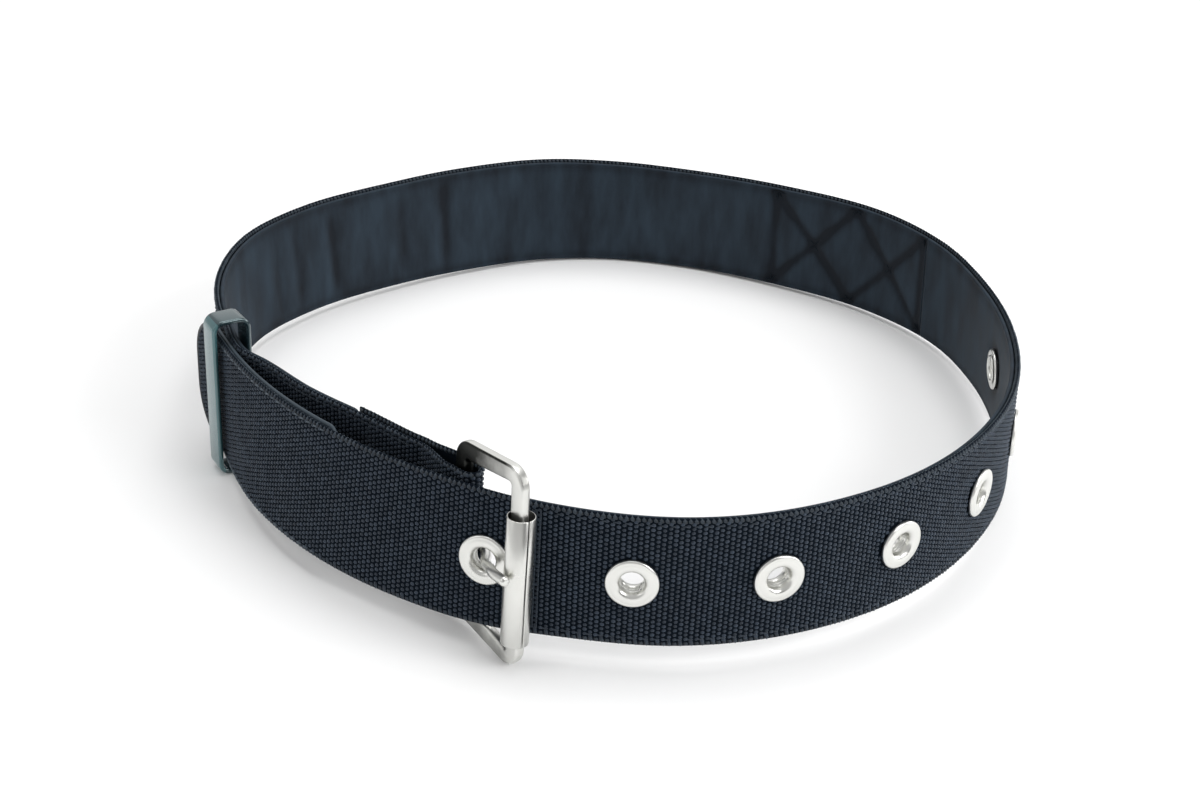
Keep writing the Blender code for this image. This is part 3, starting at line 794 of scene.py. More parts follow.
def stitchesOn(path, out, lines, pitch):
    # stitches end to end along straight lines on a face, each line given by its two (along, height) ends
    result = []
    side = 1 if out > 0 else -1
    for line in lines:
        start, end = np.array(line)
        count = max(1, round(np.linalg.norm(end - start) / pitch))
        share = (np.arange(count) + 0.5) / count
        along, height = start[:, None] + (end - start)[:, None] * share
        place, tangent, up, outward = onStrap(path, along, height, np.full(count, out))
        way = unit(end - start)
        result.append((place, tangent * way[0] + up * way[1], outward * side))
    return tuple(np.concatenate(values) for values in zip(*result))


# The straps

liningInset = belt["webbingThick"] + belt["layerGap"] + liningHalf
facingInset = belt["webbingThick"] + belt["layerGap"] + facingHalf
foldInset = belt["webbingThick"] * 1.5 + belt["layerGap"]
jointRadius = float(smoothColumn(sectionRadius, np.array(belt["webbingJoint"])))
jointTurn = math.degrees(belt["jointGap"] / jointRadius)

buckle = {
    "place": Vector((-25.6, -159.0, 27.9)),       # the middle of the roller's bar
    "yaw": 50.8,
    "lean": 3.0,
    "turn": 3.5,
    "reach": 32.2,           # from there to the hinge bar
    "bar": 5.6,              # the solid's bar, which gives the outline
    "broad": 6.3,
    "thick": 3.6,
    "edge": 1.0,
    "crown": 0.12,
    "nearHalf": 37.7,
    "farTop": 35.4,
    "farBottom": -29.8,
    "corner": 7.5,
    "foldRadius": 3.4,
    "foldSpan": (0.06, 0.97),         # of the way to the hinge bar, where the fold's two sides are drawn
    "foldSpread": 0.75,      # of that way, by which they are as far apart as round the bar
    "foldPastHinge": 4.2,
    "foldRise": 2.4,         # the fold rides up a little on the hinge bar
    "rawEndRise": 0.7,
    "slotHeight": 6.0,
    "slotReach": 9.5,
    "slotRoom": (0.4, 11.5),          # up the slot and along it, where no yarn lies
}


def axesMatrix(alongX, alongY, alongZ, place):
    return Matrix.Translation(place) @ Matrix((alongX, alongY, alongZ)).transposed().to_4x4()


def buckleMatrix():
    # x away from the hinge bar, y up the bars, z outward
    yaw, lean, turn = (math.radians(buckle[key]) for key in ("yaw", "lean", "turn"))
    level = Vector((math.cos(yaw), -math.sin(yaw), 0.0))
    inward = Vector((math.sin(yaw), math.cos(yaw), 0.0))
    upright = Vector((0, 0, 1)) * math.cos(lean) + inward * math.sin(lean)
    alongX = level * math.cos(turn) + upright * math.sin(turn)
    alongY = upright * math.cos(turn) - level * math.sin(turn)
    return axesMatrix(alongX, alongY, alongX.cross(alongY), buckle["place"])


buckleSeat = buckleMatrix()
upBuckle = buckleSeat.to_3x3() @ Vector((0, 1, 0))
hinge = buckleSeat @ Vector((-buckle["reach"], 0, 0))
hinge = hinge + upBuckle * ((halfWidth - hinge.z) / upBuckle.z)


def foldedPath():
    # the buckle's half: from the stitched box round the back and left, round the hinge bar and back
    halfStack = (belt["webbingThick"] + belt["layerGap"]) / 2
    foldStart, foldRadius = belt["foldStart"], buckle["foldRadius"]
    foldLean = Vector((upBuckle.x, upBuckle.y, 0.0)) * (belt["width"] / upBuckle.z)
    startAngle = belt["webbingJoint"] + jointTurn * belt["buttGap"] / belt["jointGap"]
    runAngles = np.linspace(startAngle, foldStart, 800)
    run = facePoint(runAngles) - faceNormal(runAngles) * webbingHalf
    middle = Vector(facePoint(foldStart) - faceNormal(foldStart) * (webbingHalf + halfStack))
    startLean = Vector(leanAt(foldStart))
    along = (hinge - middle).normalized()
    end = hinge + along * buckle["foldPastHinge"]
    outward = Vector((along.y, -along.x, 0.0))
    length = (end - middle).length
    side = []
    for share in np.linspace(*buckle["foldSpan"], 16):
        ease = min(share / buckle["foldSpread"], 1.0) ** 2
        ease = ease * (3 - 2 * ease)
        side.append((middle + along * length * share, halfStack + (foldRadius - halfStack) * ease))
    points = [place + outward * apart for place, apart in side]
    for turn in np.linspace(math.pi / 2, -math.pi / 2, 19):
        points.append(end + (outward * math.sin(turn) + along * math.cos(turn)) * foldRadius)
    points += [place - outward * apart for place, apart in reversed(side)]
    shares = [min(max((point - middle).dot(along) / length, 0.0), 1.0) for point in points]
    leans = [startLean.lerp(foldLean, share) for share in shares]
    backAngles = np.linspace(foldStart, belt["foldRawEnd"], 60)
    back = facePoint(backAngles) - faceNormal(backAngles) * foldInset
    allPoints = np.concatenate([run, np.array(points), back])
    third = len(points) // 3
    stops = np.cumsum([0, len(run), third, third, third, len(back)])
    rises = [0.0] * 2 + [buckle["foldRise"]] * 2 + [buckle["rawEndRise"]] * 2
    allPoints[:, 2] += np.interp(np.arange(len(allPoints)), stops, rises)
    allLeans = np.concatenate([leanAt(runAngles), np.array(leans), leanAt(backAngles)])
    # the fold lies past every angle that is asked for on the strap
    foldAngles = np.linspace(700, 800, len(points)), np.linspace(800, 814, len(backAngles))
    return strapPath(allPoints, allLeans, np.concatenate([runAngles, *foldAngles]))


eyeletPath = pathBetween(belt["tipAngle"], belt["webbingJoint"], webbingHalf)
bucklePath = foldedPath()
frontLiningPath = pathBetween(belt["liningFrontEnd"], belt["liningJoint"], liningInset)
backLiningPath = pathBetween(belt["liningJoint"] + jointTurn, belt["foldRawEnd"] - jointTurn, liningInset)
facingPath = pathBetween(belt["facingStart"], belt["facingEnd"], facingInset)
facingPath["mid"][:, 2] += belt["facingRise"] * (facingPath["along"] / facingPath["along"][-1]) ** 1.5


def fullHeight(along):
    return np.full(len(along), halfWidth)


def tipHeight(margin):
    def half(along):
        radius = belt["tipRadius"] - margin
        inside = np.clip((radius - along) / radius, 0.0, 1.0)
        return halfWidth - margin - radius * (1 - np.sqrt(1 - inside**2))
    return half


def eyeletMatrix(angle):
    outward = Vector(faceNormal(angle))
    upright = (Vector(leanAt(angle)) + Vector((0, 0, belt["width"]))).normalized()
    outward = (outward - upright * outward.dot(upright)).normalized()
    return axesMatrix(upright.cross(outward), upright, outward, Vector(facePoint(angle)))


eyeletSeats = {name: eyeletMatrix(angle) for name, angle in eyelets.items()}
rings = {
    "flange": 9.0,
    "hole": 4.0,
    "wall": 0.6,
    "groove": ((0.0, 0.0), (0.3, 0.1), (0.3, 0.25), (0.0, 0.35)),
    "washerRadius": 8.2,
    "washerStand": 0.6,
    "washerThick": 0.45,
    "sides": 72,
    "cutRadius": 4.9,
    "cutReach": (-9.0, 4.0),
    "clear": (9.0, 8.0),     # no yarn lies nearer, to the side and in depth
}


def clearOfHoles(places):
    kept = np.ones(len(places), dtype=bool)
    radius, deep = rings["clear"]
    for seat in eyeletSeats.values():
        local = placed(places, seat.inverted())
        kept &= (np.hypot(local[:, 0], local[:, 1]) > radius) | (np.abs(local[:, 2]) > deep)
    return kept


def clearOfSlot(places):
    apart = places - np.array(hinge)
    up, along = buckle["slotRoom"]
    high = np.abs(apart[:, 2]) >= buckle["slotHeight"] / 2 + up
    return high | (np.hypot(apart[:, 0], apart[:, 1]) >= along)


def cutterRound(seat, sides=48):
    radius = rings["cutRadius"]
    ring = [(radius * math.cos(turn), radius * math.sin(turn)) for turn in fullTurn(sides)]
    points = [(*corner, z) for z in rings["cutReach"] for corner in ring]
    return newMesh("hole cutter", placed(points, seat), gridFaces(2, sides, capped=True), webbingGround)


def cutterBox(centre, half):
    points = [(x * half[0], y * half[1], z * half[2]) for x in (-1, 1) for y in (-1, 1) for z in (-1, 1)]
    faces = [(0, 1, 3, 2), (4, 6, 7, 5), (0, 4, 5, 1), (2, 3, 7, 6), (0, 2, 6, 4), (1, 5, 7, 3)]
    return newMesh("slot cutter", np.array(points) + np.array(centre), faces, webbingGround)


holes = {name: cutterRound(seat) for name, seat in eyeletSeats.items()}
prongSlot = cutterBox(hinge, (buckle["slotReach"], buckle["slotReach"], buckle["slotHeight"] / 2))


def makeWebbing(node, path, halfHeight, cutters, clear, innerSpan=None, loopStart=0.0):
    name = node + "_cloth"
    ground = webbingHalf - weave["groundBelow"]
    body = strapMesh(name, path, halfHeight, ground, -ground, webbingGround, rows=10, step=1.6)
    cutAway(body, cutters)
    shown(body, "nylon_webbing", node)
    outerSpan = (0.0, path["along"][-1])
    kinds = [
        ("_weave", knucklesOn(path, halfHeight, 1, *outerSpan, clear), knuckle, webbingYarn),
        ("_selvedge", loopsOn(path, halfHeight, loopStart), edgeLoop, selvedgeYarn),
    ]
    if innerSpan:
        places = knucklesOn(path, halfHeight, -1, *innerSpan, clear)
        kinds.append(("_inner_weave", places, knuckle, webbingYarn))
    pieces = [
        shown(repeated(name + ending, *places, source, yarn, jitter), "nylon_webbing")
        for (ending, places, source, yarn), jitter in zip(kinds, weave["jitter"])
    ]
    print(node, "woven")
    return body, pieces


tailEnd = alongAt(eyeletPath, belt["facingEnd"])
tackSide = alongAt(eyeletPath, belt["liningFrontEnd"])
innerSpan = (tailEnd - weave["innerPast"], tackSide + weave["innerPast"])
eyeletWebbing, eyeletWeave = makeWebbing(
    "eyelet_webbing", eyeletPath, tipHeight(0.0), holes.values(), clearOfHoles, innerSpan, belt["tipRadius"],
)
buckleWebbing, buckleWeave = makeWebbing("buckle_webbing", bucklePath, fullHeight, [prongSlot], clearOfSlot)


def sealedEdge(name, path, along, height):
    # a cut edge that heat has sealed into a smooth rim
    places = onStrap(path, along, height, np.zeros(len(along)))[0]
    radii = np.full(len(places), weave["sealedRadius"])
    return shown(wireMesh(name, places, radii, 16, sealedNylon), "nylon_webbing")


def tipEdge(inset):
    radius = belt["tipRadius"]
    turn = np.radians(np.linspace(90, 0, 14))
    along = radius - (radius - inset) * np.cos(turn)
    height = halfWidth - radius + (radius - inset) * np.sin(turn)
    straight = radius + np.array(weave["sealedRun"])
    along = np.concatenate([straight, along, along[::-1], straight[::-1]])
    return along, np.concatenate([[halfWidth - inset] * 2, height, -height[::-1], [inset - halfWidth] * 2])


tipInset, rawInset = weave["sealedInset"]
eyeletWeave.append(sealedEdge("sealed_tip", eyeletPath, *tipEdge(tipInset)))
rawEnd = np.full(12, bucklePath["along"][-1] - rawInset)
buckleWeave.append(sealedEdge("sealed_raw_end", bucklePath, rawEnd, np.linspace(*weave["sealedSpan"], 12)))


# Linings

linings = {
    "creases": {481.1: 0.50, 489.5: 0.30, 503.3: 0.55, 510.8: 0.45, 515.5: 0.25},       # angle and depth
    "creaseWide": 2.6,
    "creaseSlant": 0.06,
    "ridge": (0.5, 5.0, 3.5),         # beside a crease: its share of the depth, how far off and how wide
    "waves": 0.22,
    "waveCount": 10,
    "waveSizes": ((6, 26), (14, 60), (0, 6.28)),      # least and most: along, up, and where in its turn
    "flatEdge": 3.5,         # from the webbing's edge, where the cloth lies flat
    "leastThick": 0.3,
    "dentRadius": 10.5,
    "dentDeep": 0.8,
    "seamDeep": 0.70,
    "seamWide": 2.1,
    "edgeSeamDeep": 0.25,
    "seamReach": 22.3,
    "seamEnd": 1.5,          # where the edge seams stop short of the ends
    "frontSeam": 2.5,        # upright seams, from the ends
    "backSeam": 3.0,
    "facingSeam": 2.5,
    "facingSpan": (12.0, 2.0),
    "below": 0.9,            # the webbing's edge
    "backCorner": 2.6,
    "facingCorner": 3.2,
}


def distanceToLine(along, height, line):
    start, end = np.array(line)
    length = np.linalg.norm(end - start)
    way = (end - start) / length
    apart = np.stack([along, height], axis=-1) - start
    share = np.clip(apart @ way, 0.0, length)
    return np.linalg.norm(apart - share[..., None] * way, axis=-1)


def softWaves(along, height, seed):
    # slow unevenness of cloth that is sewn down at its edges
    random = np.random.default_rng(seed)
    total = np.zeros_like(along)
    for _ in range(linings["waveCount"]):
        waveAlong, waveUp, phase = (random.uniform(*size) for size in linings["waveSizes"])
        total += np.sin(along / waveAlong + height / waveUp + phase)
    return total / linings["waveCount"]


def liningShape(seams, dents, creases, seed, thick):
    share, off, spread = linings["ridge"]

    def shape(along, height):
        middle = 1 - np.clip(np.abs(height) / (halfWidth - linings["flatEdge"]), 0, 1) ** 4
        depth = -linings["waves"] * softWaves(along, height, seed) * middle
        for place, deep in creases:
            apart = along - place - linings["creaseSlant"] * height
            depth += deep * np.exp(-((apart / linings["creaseWide"]) ** 2)) * middle
            depth -= share * deep * np.exp(-(((apart - off) / spread) ** 2)) * middle
        for place in dents:
            apart = np.hypot(along - place, height)
            depth += linings["dentDeep"] * np.exp(-((apart / linings["dentRadius"]) ** 4))
        for line in seams:
            deep = linings["edgeSeamDeep"] if line[0][1] == line[1][1] else linings["seamDeep"]
            depth += deep * np.exp(-((distanceToLine(along, height, line) / linings["seamWide"]) ** 2))
        return np.minimum(depth, thick - linings["leastThick"])
    return shape


seamHigh = halfWidth - sewing["line"]


def edgeSeams(start, end, height=seamHigh):
    return [((start, -height), (end, -height)), ((start, height), (end, height))]


def upSeam(along, height=seamHigh):
    return (along, -height), (along, height)


def crossSeams(stops):
    # upright seams at those places and a cross between each two
    lines = [upSeam(stop) for stop in stops]
    for start, end in zip(stops, stops[1:]):
        lines += [((start, -seamHigh), (end, seamHigh)), ((start, seamHigh), (end, -seamHigh))]
    return lines


def makeLining(node, path, halfHeight, seams, seed, dents=(), creases=(), cutters=(), cloth=liningCloth):
    thick = belt["facingThick" if cloth == facingCloth else "liningThick"]
    shape = liningShape(seams, dents, creases, seed, thick)
    name = node + "_cloth"
    body = strapMesh(name, path, halfHeight, thick / 2, -thick / 2, cloth, rows=36, step=0.9, shape=shape)
    if cutters:
        cutAway(body, cutters)
    print(node, "made")
    return shown(body, "smooth_lining", node)


frontLength, backLength, facingLength = (
    path["along"][-1] for path in (frontLiningPath, backLiningPath, facingPath)
)
seamEnd, seamReach = linings["seamEnd"], linings["seamReach"]
boxAngles = (belt["liningJoint"] + jointTurn + sewing["boxFirst"], belt["webbingJoint"], sewing["boxLeft"])
boxSeams = crossSeams([alongAt(backLiningPath, angle) for angle in boxAngles])
backSeams = edgeSeams(seamEnd, backLength - seamEnd) + boxSeams[:1] + boxSeams[2:]
backSeams.append(upSeam(backLength - linings["backSeam"], seamReach))
frontSeams = edgeSeams(seamEnd, frontLength - seamEnd) + [upSeam(linings["frontSeam"], seamReach)]
facingFirst, facingShort = linings["facingSpan"]
facingSeams = edgeSeams(facingFirst, facingLength - facingShort, seamReach)
facingSeams.append(upSeam(facingLength - linings["facingSeam"], seamReach))
creases = [(alongAt(backLiningPath, angle), deep) for angle, deep in linings["creases"].items()]
lined = [name for name in eyelets if name != "eyelet_in_use"]
frontDents = [alongAt(frontLiningPath, eyelets[name]) for name in lined]


def liningHeight(along):
    # sewn a little below the webbing's edge
    return np.full(len(along), halfWidth - linings["below"])


def cornerDrop(along, length, radius):
    past = np.clip(along - (length - radius), 0.0, radius)
    return radius - np.sqrt(np.maximum(radius**2 - past**2, 0.0))


def roundedEnd(along):
    # the lining's corners are rounded where it meets the raw end of the fold
    return liningHeight(along) - cornerDrop(along, backLength, linings["backCorner"])


def facingHeight(along):
    return tipHeight(1.0)(along) - cornerDrop(along, facingLength, linings["facingCorner"])


liningHoles = [holes[name] for name in lined]
frontLining = makeLining(
    "front_lining", frontLiningPath, liningHeight, frontSeams, 3, frontDents, cutters=liningHoles,
)
backLining = makeLining("back_lining", backLiningPath, roundedEnd, backSeams, 5, creases=creases)
tailFacing = makeLining("tail_facing", facingPath, facingHeight, facingSeams, 9, cloth=facingCloth)


# Stitches

def makeStitches(
    name, path, out, lines, source=stitch, thread=sewingThread, slotName="nylon_webbing",
    pitch=sewing["pitch"],
):
    places = stitchesOn(path, out, lines, pitch)
    return shown(repeated(name, *places, source, thread, sewing["jitter"], 11), slotName)


faceOut = webbingHalf - weave["topBelow"] - sewing["below"]
sunkOut = faceOut - sewing["sunk"]
tailFirst, tailShort = sewing["tailSpan"]
tailSeams = edgeSeams(tailFirst, tailEnd - tailShort, halfWidth - sewing["tailLine"])
tailStitches = makeStitches(
    "tail_stitches", eyeletPath, faceOut + sewing["tailRise"], tailSeams, tailStitch, tailThread,
)
tackStart = tackSide + sewing["tackFrom"]
eyeletSeams = edgeSeams(tackStart, eyeletPath["along"][-1] - sewing["endStop"])
eyeletStitches = makeStitches("eyelet_webbing_stitches", eyeletPath, sunkOut, eyeletSeams)
tackSeams = [upSeam(tackStart + shift) for shift in sewing["tackLines"]]
barTack = makeStitches("bar_tack", eyeletPath, faceOut, tackSeams, tackStitch, pitch=sewing["tackPitch"])
outerAngles = (
    belt["liningJoint"] + sewing["boxFirst"], sewing["boxMiddle"], belt["webbingJoint"] - sewing["boxLast"],
)
outerSeams = crossSeams([alongAt(eyeletPath, angle) for angle in outerAngles])
boxOut = makeStitches("box_stitches_eyelet_side", eyeletPath, faceOut, outerSeams[:1] + outerSeams[3:5])
boxLeft, rawSeam, foldStart = (
    alongAt(bucklePath, angle) for angle in (sewing["boxLeft"], sewing["rawSeam"], belt["foldStart"])
)
buckleSeams = edgeSeams(sewing["endStop"], foldStart - sewing["foldStop"])
buckleSeams += crossSeams([sewing["jointSeam"], boxLeft]) + [upSeam(rawSeam)]
buckleStitches = makeStitches("buckle_webbing_stitches", bucklePath, sunkOut, buckleSeams)
edgeOut = linings["edgeSeamDeep"] - liningHalf + sewing["aboveEdge"]
crossOut = linings["seamDeep"] - liningHalf + sewing["aboveCross"]
facingOut = linings["edgeSeamDeep"] - facingHalf + sewing["aboveFacing"]
fine = (fineStitch, liningThread, "smooth_lining")
frontLiningStitches = makeStitches("front_lining_stitches", frontLiningPath, edgeOut, frontSeams[:2], *fine)
backLiningStitches = makeStitches("back_lining_stitches", backLiningPath, edgeOut, backSeams[:2], *fine)
crossStitches = makeStitches("cross_stitches", backLiningPath, crossOut, backSeams[2:], *fine)
facingStitches = makeStitches(
    "tail_facing_stitches", facingPath, facingOut, facingSeams, fineStitch, slotName="smooth_lining",
)
print("stitches sewn")


# Metal

def frameOutline(inward):
    near = buckle["bar"] / 2 - inward
    far = -buckle["reach"] - near
    corners = [
        Vector((far, buckle["farBottom"] + inward)),
        Vector((near, -buckle["nearHalf"] + inward)),
        Vector((near, buckle["nearHalf"] - inward)),
        Vector((far, buckle["farTop"] - inward)),
    ]
    return roundedOutline(corners, buckle["corner"] - inward, 24, 9)


# painted shade and reflection on the frame: darker toward the hinge bar, with a dark line on its edge
framePaintedShade = {
    "start": (-1.0, 5.5),             # where the painted shade begins, and how far it takes to come in
    "least": 0.1,
    "full": 24.0,            # from the roller's bar, where the painted shade is darkest
    "power": 0.6,            # below 1 it comes in fast
    "lowerShare": 0.55,
    "line": 0.75,            # of the edge's rounding, the painted dark line of reflection
    "cornerShadeCentre": (-4.7, 30.2),      # of the upper corner, where painted shade on the rim tones down a highlight
    "cornerShadeTurn": (30.0, 20.0),
    "cornerShadeAbove": 20.0,
    "rim": 0.1,              # of the edge's rounding, what counts as the rim
    "cornerShade": 0.7,
    "behind": 0.45,
}


def frameShade(points, inset):
    # Painted shade and reflection: its faces are painted darker toward the hinge bar, for the dark fold
    # that they would reflect there, and less on the lower bar and behind. Its rim is bright, with a
    # painted dark line of reflection between the rim and the outer face, and painted shade on the rim
    # at the upper corner that tones down a highlight.
    x, y, z = points.T
    edge = buckle["edge"]
    start, blend = framePaintedShade["start"]
    # painted shade toward the hinge bar, less on the lower bar
    turned = np.clip((start - x) / blend, 0.0, 1.0)
    grown = np.clip(-x / framePaintedShade["full"], 0.0, 1.0) ** framePaintedShade["power"]
    hingeShade = framePaintedShade["least"] + (1 - framePaintedShade["least"]) * grown
    face = turned * hingeShade * np.where(y > 0, 1.0, framePaintedShade["lowerShare"])
    # the painted dark line of reflection on the edge's rounding, on the outer side
    line = turned * (inset < framePaintedShade["line"] * edge) * (z > 0)
    glossX, glossY = framePaintedShade["cornerShadeCentre"]
    middle, spread = framePaintedShade["cornerShadeTurn"]
    # painted shade on the rim at the upper corner tones down a highlight there
    corner = np.degrees(np.arctan2(y - glossY, x - glossX))
    rim = framePaintedShade["cornerShade"] * np.exp(-(((corner - middle) / spread) ** 2)) * (y > framePaintedShade["cornerShadeAbove"])
    outer = np.where(inset < framePaintedShade["rim"] * edge, rim, np.maximum(line, face))
    # behind, the painted shade is kept lighter
    return np.where(z > 0, outer, np.minimum(outer, framePaintedShade["behind"]))


buckleFrame = ringMesh(
    "buckle_frame_metal", frameOutline, buckle["broad"], buckle["thick"], buckle["edge"], buckleSeat,
    frameNickel, buckle["crown"], frameShade,
)
shown(buckleFrame, "nickel_plate", "buckle_frame")

roller = {
    "top": Vector((-25.2, -157.7, 48.5)),
    "bottom": Vector((-26.2, -160.6, 1.2)),
    "outer": 4.8,
    "wall": 0.4,
    "edge": (0.12, 0.1),     # how far its rims are rounded, outside and inside
    "seamTurn": 34.0,        # of its open seam, from the side that is seen
    "seamHalf": 0.05,
    "seenFrom": Vector((-2.0, -676.0, 372.1)),
    "sides": 72,
}


def makeRoller():
    # a tube of rolled sheet with a thin open seam along its front
    top, bottom = roller["top"], roller["bottom"]
    axis = (top - bottom).normalized()
    toCamera = roller["seenFrom"] - (top + bottom) / 2
    front = (toCamera - axis * toCamera.dot(axis)).normalized()
    seat = axesMatrix(front, axis.cross(front), axis, (top + bottom) / 2)
    half = (top - bottom).length / 2
    outer, inner = roller["outer"], roller["outer"] - roller["wall"]
    outerEdge, innerEdge = roller["edge"]
    upper = [(inner, half - innerEdge), (inner + innerEdge, half)]
    upper += [(outer - outerEdge, half), (outer, half - outerEdge)]
    profile = upper[-1:] + [(radius, -z) for radius, z in upper[::-1]] + upper[:-1]
    first, last = roller["seamHalf"], 2 * math.pi - roller["seamHalf"]
    turns = math.radians(roller["seamTurn"]) + np.linspace(first, last, roller["sides"])
    tube = turnedMesh("buckle_roller_tube", profile, turns, seat, nickel, closed=False)
    # painted shade: the faces inside the tube take the darker nickel
    tube.data.materials.append(hollowShadeNickel)
    inverse = (beltPlace @ seat).inverted()
    for face in tube.data.polygons:
        middle = inverse @ (face.center / mm)
        face.material_index = int(math.hypot(middle.x, middle.y) < inner + innerEdge)
    return tube


shown(makeRoller(), "nickel_plate", "buckle_roller", body="roller")

prong = {
    "wire": 1.75,
    "ringForward": 5.1,
    "ringOutward": 3.9,
    "inside": 5.2,
    "outside": 2.2,
    "sideways": 1.3,
    "overRoller": ((-35.4, -154.6, 26.2), (-34.0, -159.6, 27.2), (-29.1, -166.6, 28.6)),
    "tip": (0.8, 0.55),      # the length that is rounded, and the end's share of the thickness
    "hookEnd": 0.8,
}


def easedPath(points, rounds):
    for _ in range(rounds):
        eased = [points[0]]
        for first, second in zip(points, points[1:]):
            eased += [first.lerp(second, 0.25), first.lerp(second, 0.75)]
        points = eased + [points[-1]]
    return points


def makeProng():
    seat = eyeletSeats["eyelet_in_use"]
    inside = seat @ Vector((-prong["sideways"], 0, -prong["inside"]))
    outside = seat @ Vector((prong["sideways"], 0, prong["outside"]))
    forward = buckleSeat.col[0].to_3d() * prong["ringForward"]
    outward = buckleSeat.col[2].to_3d() * prong["ringOutward"]
    apart = inside - hinge
    # in the ring's own measure, in which it is round, the straight part leaves it along a tangent
    wayForward = apart.dot(forward) / prong["ringForward"] ** 2
    wayOutward = apart.dot(outward) / prong["ringOutward"] ** 2
    leave = math.atan2(wayOutward, wayForward) - math.acos(1 / math.hypot(wayForward, wayOutward))
    ring = []
    for turn in leave - np.radians(np.linspace(270, 0, 37)):
        place = hinge + forward * math.cos(turn) + outward * math.sin(turn)
        ring.append(Vector((place.x, place.y, hinge.z)))
    points = ring[:-1] + easedPath([ring[-1], inside, outside, *map(Vector, prong["overRoller"])], 3)
    along = np.concatenate([[0.0], np.cumsum([(b - a).length for a, b in zip(points, points[1:])])])
    left = along[-1] - along
    length, least = prong["tip"]
    rounding = least + (1 - least) * np.sqrt(np.clip(left / length, 0, 1))
    radii = prong["wire"] * np.where(left < length, rounding, 1.0)
    radii[0] *= prong["hookEnd"]
    return wireMesh("buckle_prong_wire", points, radii, 24, nickel)


shown(makeProng(), "nickel_plate", "buckle_prong")


def eyeletProfile(depth):
    inside = rings["hole"]
    barrel = inside + rings["wall"]
    rolled = depth + rings["washerStand"] + rings["washerThick"] + belt["layerGap"]
    flange = rings["flange"]
    face = [
        (flange - 0.05, -0.25), (flange + 0.02, 0.2), (flange, 0.75), (8.80, 1.05), (8.45, 1.24), (8.0, 1.31),
        (7.8, 1.27), (7.6, 1.33), (6.9, 1.42), (6.2, 1.45), (5.6, 1.38), (5.1, 1.18), (4.7, 0.85),
        (4.35, 0.35), (4.12, -0.3), (inside, -1.0),
    ]
    # two grooves round the inside of the barrel
    grooves = [(inside + deep, top - down) for top in (-1.5, -2.5) for deep, down in rings["groove"]]
    curl = [
        (0.0, 0.6), (0.12, -0.2), (0.5, -0.52), (1.1, -0.58), (1.6, -0.48), (1.85, -0.15), (1.5, 0.02),
        (rings["wall"] + 0.1, 0.0), (rings["wall"], 0.2),
    ]
    back = [(barrel, -0.5), (barrel + 0.3, 0.1), (barrel + 0.9, 0.45), (8.2, 0.5), (8.5, 0.3), (8.6, -0.2)]
    return face + grooves + [(inside + out, z - rolled) for out, z in curl] + back


def washerProfile(depth):
    inside = rings["hole"] + rings["wall"] + belt["layerGap"]
    top = -depth - rings["washerStand"]
    low = top - rings["washerThick"]
    full = rings["washerRadius"]
    return [
        (inside, top), (inside, low + 0.1), (inside + 0.1, low), (full - 2.2, low), (full - 1.6, low - 0.1),
        (full - 0.9, low - 0.24), (full - 0.35, low - 0.2), (full - 0.05, low), (full, top - 0.1),
        (full - 0.1, top + 0.55), (full - 0.5, top + 0.55), (full - 0.6, top),
    ]


for name, seat in eyeletSeats.items():
    depth = belt["webbingThick"] + (belt["layerGap"] + belt["liningThick"] if name in lined else 0.0)
    for node, profile in ((name, eyeletProfile), (name.replace("eyelet", "washer"), washerProfile)):
        ring = turnedMesh(node + "_ring", profile(depth), fullTurn(rings["sides"]), seat, nickel)
        shown(ring, "nickel_plate", node)
print("metal made")


# Keeper

keeper = {
    "angle": 197.7,
    "radius": 148.8,         # of its middle, from the loop's
    "turn": 5.5,
    "across": 15.2,
    "tall": 65.0,
    "wall": 1.9,
    "length": 10.0,
    "corner": 4.6,
    "drop": 5.8,             # below the webbing
    "edge": 0.9,
}


def keeperMatrix():
    outward = Vector(faceNormal(keeper["angle"]))
    outward.rotate(Matrix.Rotation(math.radians(keeper["turn"]), 3, "Z"))
    along = outward.cross(Vector((0, 0, 1)))
    place = Vector(radial(np.array(keeper["angle"]))) * keeper["radius"]
    place.z = keeper["tall"] / 2 - keeper["drop"]
    return axesMatrix(outward, Vector((0, 0, 1)), along, place)


def keeperShade(points, inset):
    # painted light and shade: its outer face is painted pale as a painted reflection, its top and bottom dark
    # as painted shade
    return np.where(points[:, 0] > keeper["across"] / 2 - 0.5 * keeper["corner"], 0.0, 1.0)


def keeperOutline(inward):
    across, tall = keeper["across"] / 2 - inward, keeper["tall"] / 2 - inward
    corners = [Vector((across * x, tall * y)) for x, y in ((-1, -1), (1, -1), (1, 1), (-1, 1))]
    return roundedOutline(corners, keeper["corner"] - inward, 12)


keeperLoop = ringMesh(
    "keeper_loop", keeperOutline, keeper["wall"], keeper["length"], keeper["edge"], keeperMatrix(),
    keeperPlastic, shadeOf=keeperShade,
)
shown(keeperLoop, "black_plastic", "keeper")
print("keeper made")

for cutter in (*holes.values(), prongSlot):
    bpy.data.objects.remove(cutter)


# Floor, light and camera

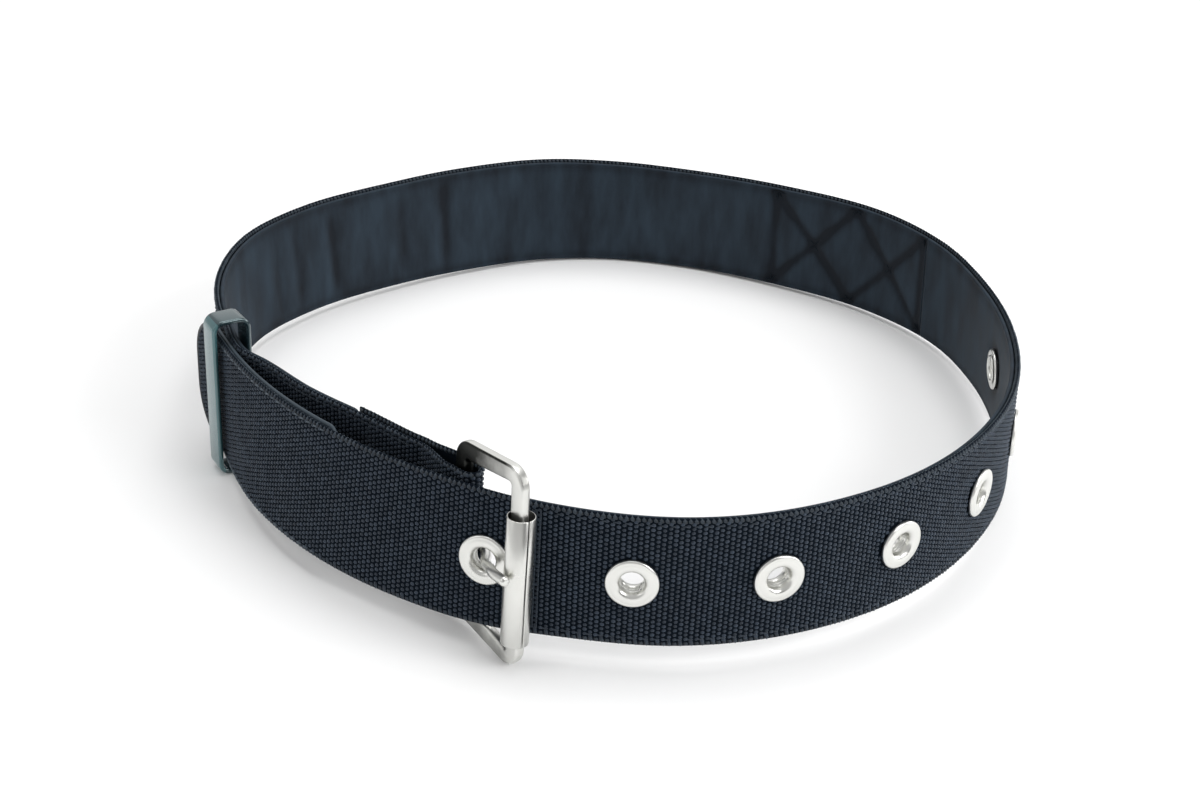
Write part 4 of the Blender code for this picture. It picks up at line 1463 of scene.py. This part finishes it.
studio = {
    "floor": (0.97, 0.97, 0.97, 1.0),
    "floorHalf": 6000.0,
    "worldStrength": 0.55,
    "darkSide": (0.88, -0.46, 0.1),
    "darkSideSpan": (0.62, 0.86),
    "darkSideColour": (0.03, 0.03, 0.035, 1.0),
    # each light's place, aim, size and power
    "key": ((1.2, -0.7, 0.9), (0.0, 0.0, 0.03), (0.9, 0.9), 13.0),
    "left": ((-1.2, -0.4, 0.7), (-0.1, 0.0, 0.03), (0.8, 0.8), 1.8),
    "right": ((1.5, 0.3, 0.5), (0.1, 0.0, 0.03), (0.8, 0.6), 8.0),
    "back": ((0.0, 1.8, 0.9), (0.0, 0.0, 0.03), (2.6, 1.3), 5.0),
    "top": ((0.0, 0.3, 1.6), (0.0, 0.0, 0.0), (1.2, 1.2), 13.0),
    "lens": 57.0,
    "cameraPlace": Vector((-2.0, -676.0, 372.126)),
    "pitch": 28.297,
    "roll": -2.941,
}

corners = np.array([(-1, -1, 0), (1, -1, 0), (1, 1, 0), (-1, 1, 0)])
floorMesh = plainMesh("floor", corners * studio["floorHalf"], [(0, 1, 2, 3)])
floorLook = {"Base_Color": studio["floor"], "Roughness": 0.9, "Specular_IOR_Level": 0.1}
floorMesh.materials.append(newMaterial("pale floor", **floorLook)[0])
addObject("floor", floorMesh)

world = bpy.data.worlds.new("studio")
world.use_nodes = True
sky = world.node_tree
around = addNode(sky, "ShaderNodeTexCoord").outputs["Generated"]
darkSide = Vector(studio["darkSide"]).normalized()
toward = addNode(sky, "ShaderNodeVectorMath", around, darkSide, operation="DOT_PRODUCT").outputs["Value"]
begins, full = studio["darkSideSpan"]
darkness = ranged(sky, toward, From_Min=begins, From_Max=full, interpolation_type="SMOOTHSTEP")
unseen = calc(sky, "SUBTRACT", 1.0, addNode(sky, "ShaderNodeLightPath").outputs["Is Camera Ray"])
tone = mixed(sky, calc(sky, "MULTIPLY", darkness, unseen), (1.0, 1.0, 1.0, 1.0), studio["darkSideColour"])
setUp(sky.nodes["Background"], Color=tone, Strength=studio["worldStrength"])
bpy.context.scene.world = world
bpy.context.scene.view_settings.view_transform = "Standard"

for name in ("key", "left", "right", "back", "top"):
    place, aim, size, power = studio[name]
    light = bpy.data.lights.new(name, "AREA")
    light.shape = "RECTANGLE"
    light.size, light.size_y = size
    light.energy = power
    aimed = (Vector(aim) - Vector(place)).to_track_quat("-Z", "Y").to_matrix().to_4x4()
    addObject(name, light).matrix_world = Matrix.Translation(place) @ aimed

camera = bpy.data.cameras.new("camera")
camera.lens = studio["lens"]
camera.sensor_width = 36.0
camera.clip_end = 50.0
pitch, roll = math.radians(studio["pitch"]), math.radians(studio["roll"])
forward = Vector((0, math.cos(pitch), -math.sin(pitch)))
levelUp = Vector((0, math.sin(pitch), math.cos(pitch)))
right = Vector((1, 0, 0)) * math.cos(roll) - levelUp * math.sin(roll)
up = Vector((1, 0, 0)) * math.sin(roll) + levelUp * math.cos(roll)
looking = beltPlace @ axesMatrix(right, up, -forward, studio["cameraPlace"])
looking.translation = looking.translation * mm
bpy.context.scene.camera = addObject("camera", camera)
bpy.context.scene.camera.matrix_world = looking
print("studio set")
